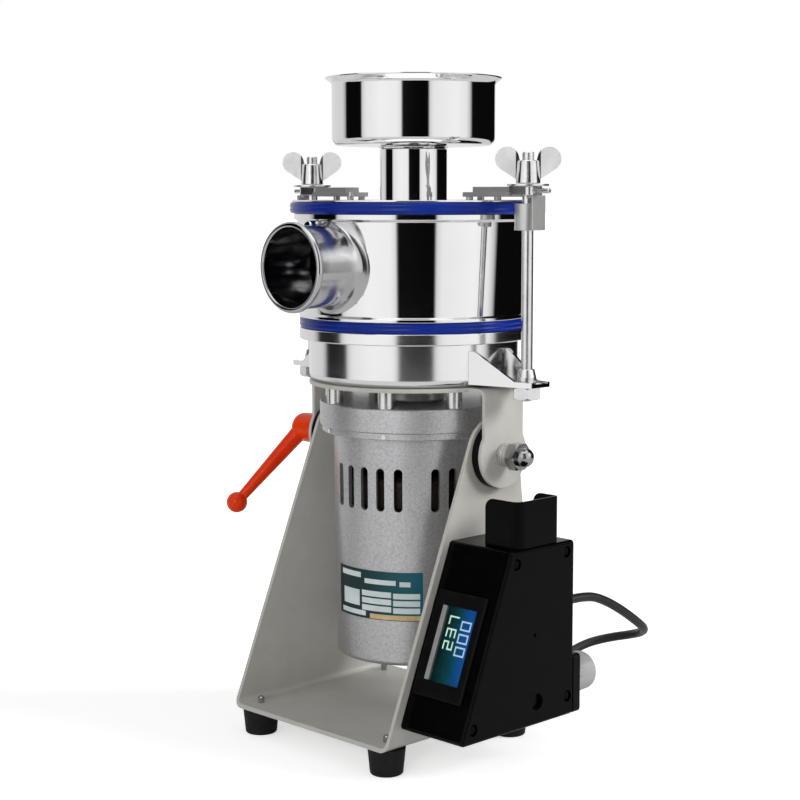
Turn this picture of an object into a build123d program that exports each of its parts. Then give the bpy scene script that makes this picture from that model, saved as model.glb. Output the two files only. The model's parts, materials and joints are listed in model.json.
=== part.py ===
from build123d import *
import math
import os

# Clearances
SEAT_GAP = 0.05          # radial play of a fixed fit
SHAFT_GAP = 0.08         # radial play of a turning fit
RUN_GAP = 0.3            # gap between faces that move past each other

# Feet
FOOT_HEIGHT = 20.0
FOOT_TOP_R = 14.0
FOOT_TIP_R = 12.0
FOOT_INSET = 14.8
FOOT_SCREW_R = 2.5
FOOT_HEAD_R = 4.6
FOOT_HEAD_H = 3.0
FOOT_RECESS = 8.0
FOOT_SCREW_TIP = 5.0     # thread that stands above the base

# Cradle, a U bent from sheet
SHEET = 3.0
BEND_R = 4.0
CRADLE_HALF = 84.6
BASE_FRONT_Y = -112.0
BASE_REAR_Y = 50.0
CHEEK_TOP_R = 27.0
PIVOT_Z = 224.0

# Pivot
PIVOT_R = 6.0
PIVOT_HEAD_R = 11.0
PIVOT_HEAD_H = 5.0
SPACER_R = 25.0
SPACER_T = 6.2
NUT_AF = 19.0
NUT_H = 9.0
DOME_R = 7.2
DOME_LEN = 9.0
NUT_THREAD = 11.0
PIVOT_WASHER_R = 8.8
PIVOT_WASHER_T = 4.2
PIVOT_WASHERS = 2

# Tilt lever
LEVER_HUB_R = 13.0
LEVER_HUB_LEN = 40.0
LEVER_SOCKET = 22.0
LEVER_ARM_X = 33.0       # from the hub's seat to the arm's root
LEVER_ARM_LEN = 83.0
LEVER_LEAN = 15.5        # degrees, outward from the plane of rotation
LEVER_DROP = 47.6        # degrees below horizontal
LEVER_ROOT_R = 7.2
LEVER_TIP_R = 3.9
LEVER_BALL_R = 8.4

# Head bracket
BRACKET_TOP = 273.6
BRACKET_BORE_R = 30.0
STRAP_WIDTH = 42.0
EAR_R = 25.0

# Motor
POST_COUNT = 8
POST_R = 6.0
POST_H = 13.1
POST_FIRST = -18.0       # degrees
COLLAR_OVER = 1.6        # collar beyond its skirt
COLLAR_H = 18.0
COLLAR_WALL = 4.0
SKIRT_WALL = 4.4
SKIRT_H = 5.0
SPIGOT_OVER = 4.4        # spigot beyond the housing's top radius
SPIGOT_H = 14.0
HOUSING_FOOT_R = 59.4
HOUSING_SPREAD = 2.2     # radius gained from foot to top
HOUSING_WALL = 3.0
MOTOR_BOTTOM = 62.0
END_CAP_H = 5.0
VENT_W = 6.6
VENT_H = 32.5
VENT_Z = 179.5
VENT_PITCH = 13.1        # degrees
VENT_GROUP = 5
VENT_CENTRE = -42.7      # degrees, the bare rib between two groups
PLATE_ARC = 73.0         # degrees
PLATE_CENTRE = -74.8     # degrees
PLATE_Z = 97.0
PLATE_H = 37.0
PLATE_T = 0.6
COLLAR_SCREW_R = 1.8
CAP_VENT_LEN = 24.0
CAP_VENT_W = 5.0

# Motor's inside
SHAFT_R = 8.0
SHAFT_TOP_R = 6.0
BEARING_R = 16.0
BEARING_H = 10.0
BEARING_BOSS_R = 22.0
FOOT_BEARING_R = 11.0
FOOT_BEARING_H = 9.0
JOURNAL_R = 5.0
STATOR_Z = 108.0
STATOR_H = 58.0
STATOR_BORE = 33.0
COIL_R = 50.0
COIL_H = 11.0
ARMATURE_GAP = 0.6
COMMUTATOR_R = 16.0
COMMUTATOR_Z = 80.0
COMMUTATOR_H = 14.0
BRUSH_W = 8.0
FAN_R = 52.0
FAN_Z = 208.0
FAN_H = 20.0
FAN_BLADES = 9

# Grinding chamber
BOWL_R = 80.0
BOWL_WALL = 2.0
BOWL_EDGE = 6.0
FLANGE_OVER = 7.3        # flange beyond the bowl's wall
FLANGE_Z = 305.5
FLANGE_H = 8.5
GASKET_H = 8.0
RING_WALL = 6.0
RING_H = 24.0
RING_TEETH = 24
BEATER_R = 64.0
BEATER_Z = 283.0
BEATER_T = 4.0
HAMMER_COUNT = 6
IMPELLER_R = 60.0
IMPELLER_Z = 300.0
IMPELLER_H = 14.0
IMPELLER_BLADES = 8
ROTOR_NUT_AF = 19.0
ROTOR_NUT_H = 10.0

# Upper chamber and outlet
CHAMBER_SPREAD = 3.4     # radius gained from foot to top
CHAMBER_WALL = 1.8
CHAMBER_H = 78.0
RIM_FOOT_OVER = 2.0
RIM_TOP_OVER = 2.2
RIM_FOOT_H = 2.6
RIM_TOP_H = 4.6
OUTLET_Z = 362.0
OUTLET_R = 30.0
OUTLET_WALL = 1.5
OUTLET_RIM_R = 32.7
OUTLET_LEN = 40.7        # from the chamber's foot radius to the mouth
OUTLET_RIM_LEN = 5.0
SADDLE_R = 34.5
SADDLE_LEN = 11.0
SADDLE_DIP = 4.0         # start of the flare, inward from the chamber's foot radius
STUD_R = 5.2
STUD_Z = 390.0
STUD_REACH = 10.0
STUD_TURN = -6.8         # degrees from the outlet's centre line

# Lid and hopper
LID_GASKET_OVER = 3.1    # beyond the chamber's upper rim
LID_GASKET_H = 8.5
LID_INSET = 1.6          # lid's edge from the gasket's edge
LID_T = 1.4
TUBE_R = 25.5
TUBE_WALL = 1.3
TUBE_H = 38.0
HOPPER_NECK_REACH = 24.0
HOPPER_R = 61.8
HOPPER_WALL = 1.2
HOPPER_RIM_R = 66.8
HOPPER_RISE = 2.9        # from the feed tube's top to where the shallow cone meets the wall
HOPPER_THROAT = 1.4      # step of the throat above and beyond the feed tube
HOPPER_H = 50.7          # from there to the rim
HOPPER_EDGE = 7.0

# Clamps, one on each side
CLAMP_OUT = 21.5         # draw rod's axis beyond the lid gasket
ROD_R = 4.2
ROD_TOP = 444.0
ARM_BRACKET_Z = 276.0
ARM_BRACKET_T = 3.0
ARM_BRACKET_PAST = 13.5  # ledge beyond the rod's axis
ARM_BRACKET_ROOT_W = 44.0
ARM_BRACKET_END_W = 20.0
GUSSET_H = 24.5
GUSSET_END_H = 4.0
BUSHING_H = 10.0
ROD_NUT_AF = 19.0
ROD_NUT_H = 9.0
SLEEVE_R = 9.6
SLEEVE_Z = 388.5
SLEEVE_H = 19.0
STRAP_T = 2.0
ARM_REACH = 56.5         # from the rod's axis inward
ARM_W = 20.0
ARM_LIFT = 2.4           # height of the small feet that the arm stands on
ARM_T = 3.4
ARM_TOP_REACH = 47.5
ARM_TOP_W = 14.0
BLOCK_IN = 11.5          # block's ends from the rod's axis
BLOCK_OUT = 8.5
BLOCK_W = 16.0
BLOCK_H = 6.6
PIN_R = 1.8
PIN_LEN = 12.0
WASHER_R = 15.0
WASHER_T = 1.5
WING_BOSS_R = 8.3
WING_BOSS_H = 16.5
WING_SPAN = 47.0
WING_TIP_R = 8.5
WING_T = 3.0
WING_RISE = 17.5         # from the boss's foot to the centre of the wing's tip
WING_TURN = 45.0         # degrees

# Control box
BOX_OUT = 145.0
BOX_Z0 = 35.0
BOX_Z1 = 165.0
BOX_REAR_Y = 21.0
BOX_FOOT_Y = -98.7
BOX_TOP_Y = -47.0
BOX_WALL = 2.5
BOX_EDGE = 3.0
COVER_T = 6.0
COVER_SCREWS = ((-42.0, 155.5), (12.0, 157.0), (14.0, 49.5), (-86.5, 45.5))
COVER_SCREW_R = 3.0
COVER_SOCKET_R = 4.2
COVER_POST_R = 7.0
COVER_POST_LEN = 10.0
SMALL_SOCKET = (-22.4, 101.5)
LARGE_SOCKET = (-19.5, 52.0)
GUARD_X0 = 112.0
GUARD_X1 = 143.5
GUARD_FRONT_Y = -40.0
GUARD_REAR_Y = 5.0
GUARD_REAR_X0 = 120.0
GUARD_TOP = 199.0
GUARD_WALL = 2.4
GUARD_CORNER_R = 8.0
GUARD_END_R = 7.0        # round of each free upper end
METER_X0 = 88.5
METER_X1 = 135.7
METER_LOW = 28.0         # along the sloping face, from its foot
METER_LEN = 76.5
METER_PROUD = 2.6
METER_DEPTH = 14.0
BOARD_T = 1.6
WINDOW_X0 = 102.0
WINDOW_X1 = 129.0
WINDOW_LOW = 39.5
WINDOW_LEN = 55.0
WELL_X0 = 96.0
SWITCH_X = 127.0
SWITCH_Y = -17.0
SWITCH_L = 27.0
SWITCH_W = 18.0
ROCK_TILT = 7.0          # degrees that the rocker leans each way
ROCKER_AXIS = -1.0       # below the top of the box
KNOB_X = 123.0
KNOB_Z = 57.0
KNOB_PLATE = 44.0
KNOB_PLATE_T = 8.5
KNOB_R = 15.5
KNOB_LEN = 28.5

# Power cord
CORD_R = 3.5
GLAND_X = 117.0
GLAND_Z = 111.0
GLAND_R = 7.0
GLAND_TIP_R = 4.6
GLAND_LEN = 26.0
COIL_CENTRE = (-20.0, 110.0)
COIL_OUT_R = 46.0
COIL_IN_R = 25.0
COIL_STACK = 15.0
CORD_POINTS = (
    (117.0, 70.0, 111.0),
    (118.0, 90.0, 103.0),
    (120.0, 108.0, 92.0),
    (122.0, 127.0, 81.0),
    (121.0, 146.0, 71.0),
    (112.0, 163.0, 63.0),
    (95.0, 172.0, 57.0),
    (77.0, 168.0, 53.0),
    (64.0, 153.0, 50.5),
    (58.0, 133.0, 48.0),
    (55.0, 113.0, 42.0),
    (50.0, 96.0, 31.0),
    (40.0, 81.0, 17.0),
    (24.0, 71.0, 7.0),
    (6.0, 66.5, 4.2),
)
PLUG_LEN = 34.0
PLUG_R = 16.0

# Derived places
BASE_TOP = FOOT_HEIGHT + SHEET
HOUSING_TOP_R = HOUSING_FOOT_R + HOUSING_SPREAD
SPIGOT_R = HOUSING_TOP_R + SPIGOT_OVER
SKIRT_R = SPIGOT_R + SKIRT_WALL
COLLAR_R = SKIRT_R + COLLAR_OVER
BRACKET_R = BOWL_R
FLANGE_R = BOWL_R + FLANGE_OVER
GASKET_R = FLANGE_R - 0.1
GASKET_BORE = BOWL_R - BOWL_WALL
RIM_FOOT_R = FLANGE_R
CHAMBER_FOOT_R = RIM_FOOT_R - RIM_FOOT_OVER
CHAMBER_TOP_R = CHAMBER_FOOT_R + CHAMBER_SPREAD
RIM_TOP_R = CHAMBER_TOP_R + RIM_TOP_OVER
OUTLET_REACH = CHAMBER_FOOT_R + OUTLET_LEN
LID_GASKET_R = RIM_TOP_R + LID_GASKET_OVER
LID_R = LID_GASKET_R - LID_INSET
CLAMP_X = LID_GASKET_R + CLAMP_OUT
ARM_X0 = CLAMP_X - ARM_REACH
ARM_TOP_X0 = CLAMP_X - ARM_TOP_REACH
BLOCK_X0 = CLAMP_X - BLOCK_IN
BLOCK_X1 = CLAMP_X + BLOCK_OUT
ARM_BRACKET_END = CLAMP_X + ARM_BRACKET_PAST
EAR_IN = CRADLE_HALF + SPACER_T + RUN_GAP
EAR_OUT = EAR_IN + SHEET
EAR_SEAT = EAR_OUT + RUN_GAP
NUT_SEAT = EAR_SEAT + PIVOT_WASHERS * PIVOT_WASHER_T
COLLAR_TOP = BRACKET_TOP - SHEET - POST_H
COLLAR_Z = COLLAR_TOP - COLLAR_H
SKIRT_Z = COLLAR_Z - SKIRT_H
HOUSING_Z = MOTOR_BOTTOM + END_CAP_H
POST_PITCH_R = COLLAR_R - POST_R
GASKET_Z = FLANGE_Z + FLANGE_H
CHAMBER_Z = GASKET_Z + GASKET_H
LID_GASKET_Z = CHAMBER_Z + CHAMBER_H
LID_Z = LID_GASKET_Z + LID_GASKET_H
LID_TOP = LID_Z + LID_T
TUBE_TOP = LID_TOP + TUBE_H
HOPPER_FOOT_Z = TUBE_TOP + HOPPER_RISE
HOPPER_TOP_Z = HOPPER_FOOT_Z + HOPPER_H
ARM_Z = LID_TOP + ARM_LIFT
BLOCK_Z = ARM_Z + 1.0
WASHER_Z = BLOCK_Z + BLOCK_H
WING_Z = WASHER_Z + WASHER_T + RUN_GAP
BOX_IN = CRADLE_HALF
COVER_X = BOX_OUT - COVER_T
SLOPE = math.degrees(math.atan2(BOX_TOP_Y - BOX_FOOT_Y, BOX_Z1 - BOX_Z0))
LEVER_X = -EAR_SEAT
UP = (Align.CENTER, Align.CENTER, Align.MIN)


def point_of_lever_ball():
    """Centre of the lever's ball, from its lean and drop."""
    lean, drop = math.radians(LEVER_LEAN), math.radians(LEVER_DROP)
    root = Vector(LEVER_X - LEVER_ARM_X, 0, PIVOT_Z)
    way = Vector(-math.sin(lean), -math.cos(lean) * math.cos(drop), -math.cos(lean) * math.sin(drop))
    return root, root + way * LEVER_ARM_LEN, way


# The machine stands with the middle of its outline on the origin
LEFT_REACH = LEVER_BALL_R - point_of_lever_ball()[1].X
MILL_X = (LEFT_REACH - BOX_OUT) / 2
MILL_Y = (OUTLET_REACH - LID_GASKET_R) / 2


def turned(points, radii=0):
    """Solid of revolution about Z from (radius, height) points, with rounded corners."""
    if radii == 0:
        radii = [0] * len(points)
    outline = FilletPolyline(*points, radius=radii, close=True)
    return revolve(Plane.XZ * make_face(outline), Axis.Z, 360)


def ring(outer, inner, z0, height):
    """Flat-ended tube about Z."""
    return Pos(0, 0, z0) * (Cylinder(outer, height, align=UP) - Cylinder(inner, height, align=UP))


def rod_z(radius, z0, height, x=0.0, y=0.0):
    return Pos(x, y, z0) * Cylinder(radius, height, align=UP)


def rod_x(radius, x0, x1, y, z):
    return Pos((x0 + x1) / 2, y, z) * Rot(0, 90, 0) * Cylinder(radius, abs(x1 - x0))


def rod_y(radius, y0, y1, x, z):
    return Pos(x, (y0 + y1) / 2, z) * Rot(90, 0, 0) * Cylinder(radius, abs(y1 - y0))


def block(x0, x1, y0, y1, z0, z1):
    return Pos((x0 + x1) / 2, (y0 + y1) / 2, (z0 + z1) / 2) * Box(x1 - x0, y1 - y0, z1 - z0)


def prism_x(outline, x0, x1):
    """Prism along X over a face drawn in (Y, Z)."""
    return Pos(x0, 0, 0) * extrude(Plane.YZ * outline, amount=x1 - x0)


def group(*items):
    return Compound([solid for item in items for solid in item.solids()])


def around(item, count, first=0.0):
    return [Rot(0, 0, first + i * 360 / count) * item for i in range(count)]


def both_sides(item):
    return group(item, mirror(item, about=Plane.YZ))


def hex_nut(across, height, bore):
    """Chamfered hexagon nut standing on Z = 0."""
    corner = across / math.sqrt(3)
    body = extrude(RegularPolygon(corner, 6), amount=height)
    dressing = turned([(0, 0), (across / 2, 0), (corner + 0.1, corner - across / 2),
                       (corner + 0.1, height - corner + across / 2), (across / 2, height), (0, height)])
    return (body & dressing) - Pos(0, 0, -1) * Cylinder(bore, height + 2, align=UP)


def foot_places():
    x = CRADLE_HALF - FOOT_INSET
    return [(sx * x, y) for sx in (-1, 1) for y in (BASE_FRONT_Y + FOOT_INSET, BASE_REAR_Y - FOOT_INSET)]


# ---------------------------------------------------------------- cradle

def cradle_frame():
    half, top = CRADLE_HALF, PIVOT_Z + CHEEK_TOP_R + 1
    section = FilletPolyline(
        (-half, top), (-half, FOOT_HEIGHT), (half, FOOT_HEIGHT), (half, top),
        (half - SHEET, top), (half - SHEET, BASE_TOP), (SHEET - half, BASE_TOP), (SHEET - half, top),
        radius=[0, BEND_R + SHEET, BEND_R + SHEET, 0, 0, BEND_R, BEND_R, 0], close=True)
    channel = extrude(Plane.XZ * make_face(section), amount=-BASE_FRONT_Y + BASE_REAR_Y, both=True)
    round_top = Pos(0, PIVOT_Z) * Circle(CHEEK_TOP_R)
    floor_line = Line((BASE_FRONT_Y, FOOT_HEIGHT), (BASE_REAR_Y, FOOT_HEIGHT))
    side = make_hull(round_top.edges() + floor_line.edges())
    frame = channel & prism_x(side, -half, half)
    frame -= rod_x(PIVOT_R + SEAT_GAP, -half - 1, half + 1, 0, PIVOT_Z)
    for x, y in foot_places():
        frame -= rod_z(FOOT_SCREW_R + SEAT_GAP, FOOT_HEIGHT - 1, SHEET + 2, x, y)
    return frame


def rubber_feet():
    foot = turned([(0, 0), (FOOT_TIP_R, 0), (FOOT_TOP_R, FOOT_HEIGHT), (0, FOOT_HEIGHT)], [0, 1.8, 0.6, 0])
    foot -= rod_z(FOOT_HEAD_R + 1.0, -1, FOOT_RECESS + 1)
    foot -= rod_z(FOOT_SCREW_R + SEAT_GAP, 0, FOOT_HEIGHT + 1)
    return group(*[Pos(x, y, 0) * foot for x, y in foot_places()])


def foot_screws():
    tip = BASE_TOP + FOOT_SCREW_TIP
    screw = turned([(0, FOOT_RECESS - FOOT_HEAD_H), (FOOT_HEAD_R, FOOT_RECESS - FOOT_HEAD_H),
                    (FOOT_HEAD_R, FOOT_RECESS), (FOOT_SCREW_R, FOOT_RECESS), (FOOT_SCREW_R, tip - 0.8),
                    (FOOT_SCREW_R - 0.8, tip), (0, tip)], [0, 1.0, 0, 0, 0, 0, 0])
    return group(*[Pos(x, y, 0) * screw for x, y in foot_places()])


def pivot_pin(reach):
    """Round-headed pin along +X: its head lies inside the cheek."""
    seat = CRADLE_HALF - SHEET
    head = Rot(0, 90, 0) * turned(
        [(0, seat - PIVOT_HEAD_H), (PIVOT_HEAD_R, seat - PIVOT_HEAD_H), (PIVOT_HEAD_R, seat), (0, seat)],
        [0, 2.5, 0, 0])
    shank = Rot(0, 90, 0) * rod_z(PIVOT_R, seat, reach - seat)
    return Pos(0, 0, PIVOT_Z) * (head + shank)


def pivot_bolt_right():
    return pivot_pin(NUT_SEAT + NUT_THREAD - 1.0)


def pivot_stud_left():
    return mirror(pivot_pin(EAR_SEAT + LEVER_SOCKET - 1.0), about=Plane.YZ)


def pivot_spacers():
    disc = rod_x(SPACER_R, CRADLE_HALF, CRADLE_HALF + SPACER_T, 0, PIVOT_Z)
    disc -= rod_x(PIVOT_R + SEAT_GAP, CRADLE_HALF - 1, CRADLE_HALF + SPACER_T + 1, 0, PIVOT_Z)
    return both_sides(disc)


def pivot_washers():
    """Stack of thick washers between the right ear and the dome nut."""
    washer = ring(PIVOT_WASHER_R, PIVOT_R + SEAT_GAP, 0, PIVOT_WASHER_T)
    washer = chamfer(washer.faces().sort_by(Axis.Z)[-1].outer_wire().edges(), 0.5)
    stack = [Pos(0, 0, number * PIVOT_WASHER_T) * washer for number in range(PIVOT_WASHERS)]
    return Pos(EAR_SEAT, 0, PIVOT_Z) * Rot(0, 90, 0) * group(*stack)


def pivot_nut_right():
    top = NUT_H + DOME_LEN
    dome = turned([(0, 0), (DOME_R, 0), (DOME_R, top), (0, top)], [0, 0, DOME_R - 0.4, 0])
    nut = hex_nut(NUT_AF, NUT_H, 0.5) + dome
    nut -= rod_z(PIVOT_R + SEAT_GAP, -1, NUT_THREAD + 1)
    return Pos(NUT_SEAT, 0, PIVOT_Z) * Rot(0, 90, 0) * Rot(0, 0, 30) * nut


def tilt_lever():
    root, ball, way = point_of_lever_ball()
    hub = turned([(0, 0), (LEVER_HUB_R, 0), (LEVER_HUB_R - 1.6, LEVER_HUB_LEN), (0, LEVER_HUB_LEN)],
                 [0, 1.2, 8.0, 0])
    hub = Pos(LEVER_X, 0, PIVOT_Z) * Rot(0, -90, 0) * hub
    arm_plane = Plane(origin=tuple(root), z_dir=tuple(way))
    arm = Cone(LEVER_ROOT_R, LEVER_TIP_R, LEVER_ARM_LEN, align=UP)
    arm += Pos(0, 0, LEVER_ARM_LEN) * Sphere(LEVER_BALL_R)
    arm = arm_plane * arm
    bore = Pos(LEVER_X, 0, PIVOT_Z) * Rot(0, -90, 0) * rod_z(PIVOT_R + SHAFT_GAP, -1, LEVER_SOCKET + 1)
    return hub + arm - bore


# ---------------------------------------------------------------- control box

def box_outline(inset=0.0):
    """Side outline of the control box in (Y, Z), with rounded corners."""
    points = [(BOX_FOOT_Y, BOX_Z0), (BOX_REAR_Y, BOX_Z0), (BOX_REAR_Y, BOX_Z1), (BOX_TOP_Y, BOX_Z1)]
    face = make_face(Polyline(*points, close=True))
    if inset:
        face = offset(face, -inset, kind=Kind.INTERSECTION)
    return fillet(face.vertices(), BOX_EDGE)


def slope_plane(along, x=0.0, lift=0.0):
    """Plane on the sloping front face: X stays X, Y runs up the slope, Z points out."""
    slope = math.radians(SLOPE)
    y = BOX_FOOT_Y + along * math.sin(slope) - lift * math.cos(slope)
    z = BOX_Z0 + along * math.cos(slope) + lift * math.sin(slope)
    return Plane(origin=(x, y, z), x_dir=(1, 0, 0), z_dir=(0, -math.cos(slope), math.sin(slope)))


def meter_hole_size():
    return METER_X1 - METER_X0 - 5.0, METER_LEN - 5.0


def control_box_body():
    body = prism_x(box_outline(), BOX_IN, COVER_X)
    body -= prism_x(box_outline(BOX_WALL), BOX_IN + BOX_WALL, COVER_X)
    width, length = meter_hole_size()
    middle = slope_plane(METER_LOW + METER_LEN / 2, (METER_X0 + METER_X1) / 2, -BOX_WALL - 1)
    body -= middle * extrude(Rectangle(width, length), amount=BOX_WALL + 2)
    body -= block(SWITCH_X - SWITCH_W / 2 + 2, SWITCH_X + SWITCH_W / 2 - 2, SWITCH_Y - SWITCH_L / 2 + 2,
                  SWITCH_Y + SWITCH_L / 2 - 2, BOX_Z1 - BOX_WALL - 1, BOX_Z1 + 1)
    body -= rod_y(3.0 + SEAT_GAP, BOX_REAR_Y - BOX_WALL - 1, BOX_REAR_Y + 1, KNOB_X, KNOB_Z)
    body -= rod_y(GLAND_TIP_R, BOX_REAR_Y - BOX_WALL - 1, BOX_REAR_Y + 1, GLAND_X, GLAND_Z)
    for y, z in COVER_SCREWS:
        post = rod_x(COVER_POST_R, COVER_X - COVER_POST_LEN, COVER_X, y, z)
        body += post & prism_x(box_outline(1.0), BOX_IN, COVER_X)
        body -= rod_x(COVER_SCREW_R / 2, COVER_X - COVER_POST_LEN + 1.5, COVER_X + 1, y, z)
    return body


def control_box_cover():
    cover = prism_x(box_outline(), COVER_X, BOX_OUT)
    rim = cover.faces().sort_by(Axis.X)[-1].edges()
    cover = fillet(rim, 2.4)
    for y, z in COVER_SCREWS:
        cover -= rod_x(COVER_SOCKET_R, BOX_OUT - 3.5, BOX_OUT + 1, y, z)
        cover -= rod_x(COVER_SCREW_R / 2 + SEAT_GAP, COVER_X - 1, BOX_OUT, y, z)
    cover -= rod_x(6.0, BOX_OUT - 3.0, BOX_OUT + 1, *LARGE_SOCKET)
    cover -= rod_x(1.4, BOX_OUT - 1.2, BOX_OUT + 1, *SMALL_SOCKET)
    return cover


def cover_screws():
    screws = []
    for y, z in COVER_SCREWS:
        head = rod_x(COVER_SCREW_R, BOX_OUT - 3.5, BOX_OUT - 1.3, y, z)
        shank = rod_x(COVER_SCREW_R / 2 - SEAT_GAP, COVER_X - COVER_POST_LEN + 2, BOX_OUT - 3.5, y, z)
        slot = block(BOX_OUT - 2.2, BOX_OUT, y - 0.4, y + 0.4, z - COVER_SCREW_R, z + COVER_SCREW_R)
        screws.append(head + shank - slot)
    return group(*screws)


def meter_bezel():
    width = METER_X1 - METER_X0
    middle_x, middle = (METER_X0 + METER_X1) / 2, METER_LOW + METER_LEN / 2
    plate = extrude(RectangleRounded(width, METER_LEN, 1.5), amount=METER_PROUD)
    plate = chamfer(plate.faces().sort_by(Axis.Z)[-1].edges(), 0.8)
    hole_w, hole_l = meter_hole_size()
    case = Pos(0, 0, -METER_DEPTH) * extrude(Rectangle(hole_w - 0.4, hole_l - 0.4), amount=METER_DEPTH)
    case -= Pos(0, 0, -METER_DEPTH - 1) * extrude(Rectangle(hole_w - 4, hole_l - 4), amount=METER_DEPTH - 1)
    well_w = WINDOW_X1 - WELL_X0
    well = Pos((WINDOW_X1 + WELL_X0) / 2 - middle_x, WINDOW_LOW + WINDOW_LEN / 2 - middle, -2.5)
    frame = plate + case - well * extrude(Rectangle(well_w, WINDOW_LEN), amount=8)
    return slope_plane(middle, middle_x) * frame


def meter_window():
    middle_x = (WINDOW_X0 + WINDOW_X1) / 2
    pane = extrude(Rectangle(WINDOW_X1 - WINDOW_X0 - 0.2, WINDOW_LEN - 0.2), amount=1.6)
    return slope_plane(WINDOW_LOW + WINDOW_LEN / 2, middle_x) * pane


def meter_board():
    hole_w, hole_l = meter_hole_size()
    back = METER_DEPTH - BOARD_T - RUN_GAP
    board = Pos(0, 0, -back - BOARD_T) * extrude(Rectangle(hole_w - 5, hole_l - 5), amount=BOARD_T)
    display = extrude(Rectangle(WINDOW_X1 - WINDOW_X0 - 1, WINDOW_LEN - 1), amount=back - 2.8)
    display = Pos((WINDOW_X0 + WINDOW_X1 - METER_X0 - METER_X1) / 2, 0, -back) * display
    return slope_plane(METER_LOW + METER_LEN / 2, (METER_X0 + METER_X1) / 2) * (board + display)


def switch_guard():
    """Three walls that stand on the box round the power switch."""
    outer = FilletPolyline((GUARD_X0, GUARD_FRONT_Y), (GUARD_X1, GUARD_FRONT_Y), (GUARD_X1, GUARD_REAR_Y),
                           (GUARD_REAR_X0, GUARD_REAR_Y), radius=[GUARD_CORNER_R, GUARD_CORNER_R / 2])
    walls = make_face(offset(outer, GUARD_WALL, side=Side.LEFT).edges())
    guard = Pos(0, 0, BOX_Z1) * extrude(walls, amount=GUARD_TOP - BOX_Z1)
    for x, y in ((GUARD_X0, GUARD_FRONT_Y), (GUARD_REAR_X0, GUARD_REAR_Y)):
        low, end = GUARD_TOP - GUARD_END_R, x + GUARD_END_R
        corner = block(x - 1, end, y - GUARD_WALL - 1, y + GUARD_WALL + 1, low, GUARD_TOP + 1)
        guard -= corner - rod_y(GUARD_END_R, y - GUARD_WALL - 2, y + GUARD_WALL + 2, end, low)
    return guard


def switch_frame():
    length, width = SWITCH_L, SWITCH_W
    flange = Pos(0, 0, 0) * extrude(RectangleRounded(width, length, 1.5), amount=2.0)
    body = Pos(0, 0, -16) * extrude(Rectangle(width - 4.4, length - 4.4), amount=16)
    cavity = Pos(0, 0, -6) * extrude(Rectangle(width - 6.0, length - 6.4), amount=9)
    return Pos(SWITCH_X, SWITCH_Y, BOX_Z1) * (flange + body - cavity)


def power_rocker():
    """Rocker that turns about X: two sloping paddles over a round hub."""
    half, width = (SWITCH_L - 7.6) / 2, SWITCH_W - 6.8
    outline = make_face(Polyline((-half, 2.4), (-half + 1.2, 6.2), (0, 4.2), (half - 1.2, 6.2), (half, 2.4),
                                 (3.2, -1.8), (-3.2, -1.8), close=True))
    rocker = prism_x(outline, -width / 2, width / 2)
    return Pos(SWITCH_X, SWITCH_Y, BOX_Z1 + ROCKER_AXIS) * Rot(ROCK_TILT, 0, 0) * rocker


def knob_plate():
    plate = extrude(RectangleRounded(KNOB_PLATE, KNOB_PLATE, 3.0), amount=KNOB_PLATE_T)
    plate = chamfer(plate.faces().sort_by(Axis.Z)[-1].edges(), 1.0)
    plate -= Pos(0, 0, -1) * Cylinder(3.0 + SEAT_GAP, KNOB_PLATE_T + 2, align=UP)
    return Plane(origin=(KNOB_X, BOX_REAR_Y, KNOB_Z), x_dir=(1, 0, 0), z_dir=(0, 1, 0)) * plate


def speed_board():
    """Potentiometer and its board behind the rear wall; its bush fills the wall's hole."""
    wall = BOX_REAR_Y - BOX_WALL
    board = block(KNOB_X - 16, COVER_X - 1, wall - 14, wall - 12.4, BOX_Z0 + BOX_WALL + 1, KNOB_Z + 16)
    can = rod_y(8.0, wall - 12.4, wall, KNOB_X - 2, KNOB_Z)
    return board + can


def speed_knob():
    start = BOX_REAR_Y + KNOB_PLATE_T + RUN_GAP
    knob = turned([(0, 0), (KNOB_R, 0), (KNOB_R - 1.2, KNOB_LEN), (0, KNOB_LEN)], [0, 1.0, 3.0, 0])
    for cut in around(Pos(KNOB_R + 1.1, 0, 2) * Cylinder(2.0, KNOB_LEN, align=UP), 12):
        knob -= cut
    stem = rod_z(3.0 - SHAFT_GAP, -KNOB_PLATE_T - BOX_WALL, KNOB_PLATE_T + BOX_WALL + 1)
    pointer = block(-0.8, 0.8, 3.0, KNOB_R - 4.0, KNOB_LEN - 0.8, KNOB_LEN + 1)
    place = Plane(origin=(KNOB_X, start, KNOB_Z), x_dir=(-1, 0, 0), z_dir=(0, 1, 0))
    return place * (knob + stem - pointer)


def cord_gland():
    gland = turned([(0, 0), (GLAND_R, 0), (GLAND_R, 4), (GLAND_TIP_R + 1.2, 5.5), (GLAND_TIP_R, GLAND_LEN),
                    (0, GLAND_LEN)], [0, 0.8, 0.8, 0.6, 0, 0])
    return Plane(origin=(GLAND_X, BOX_REAR_Y, GLAND_Z), x_dir=(1, 0, 0), z_dir=(0, 1, 0)) * gland


def cord_route():
    start = (GLAND_X, BOX_REAR_Y + GLAND_LEN, GLAND_Z)
    end = (COIL_CENTRE[0] + 8.0, COIL_CENTRE[1] - COIL_OUT_R + CORD_R, CORD_R + 0.5)
    return [start, *CORD_POINTS, end]


def corner_radius(a, b, c):
    """Largest tangent arc that the shorter of two runs allows at b."""
    before, after = Vector(*b) - Vector(*a), Vector(*c) - Vector(*b)
    turn = math.radians(before.get_angle(after))
    return 0.45 * min(before.length, after.length) / math.tan(turn / 2)


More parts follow.
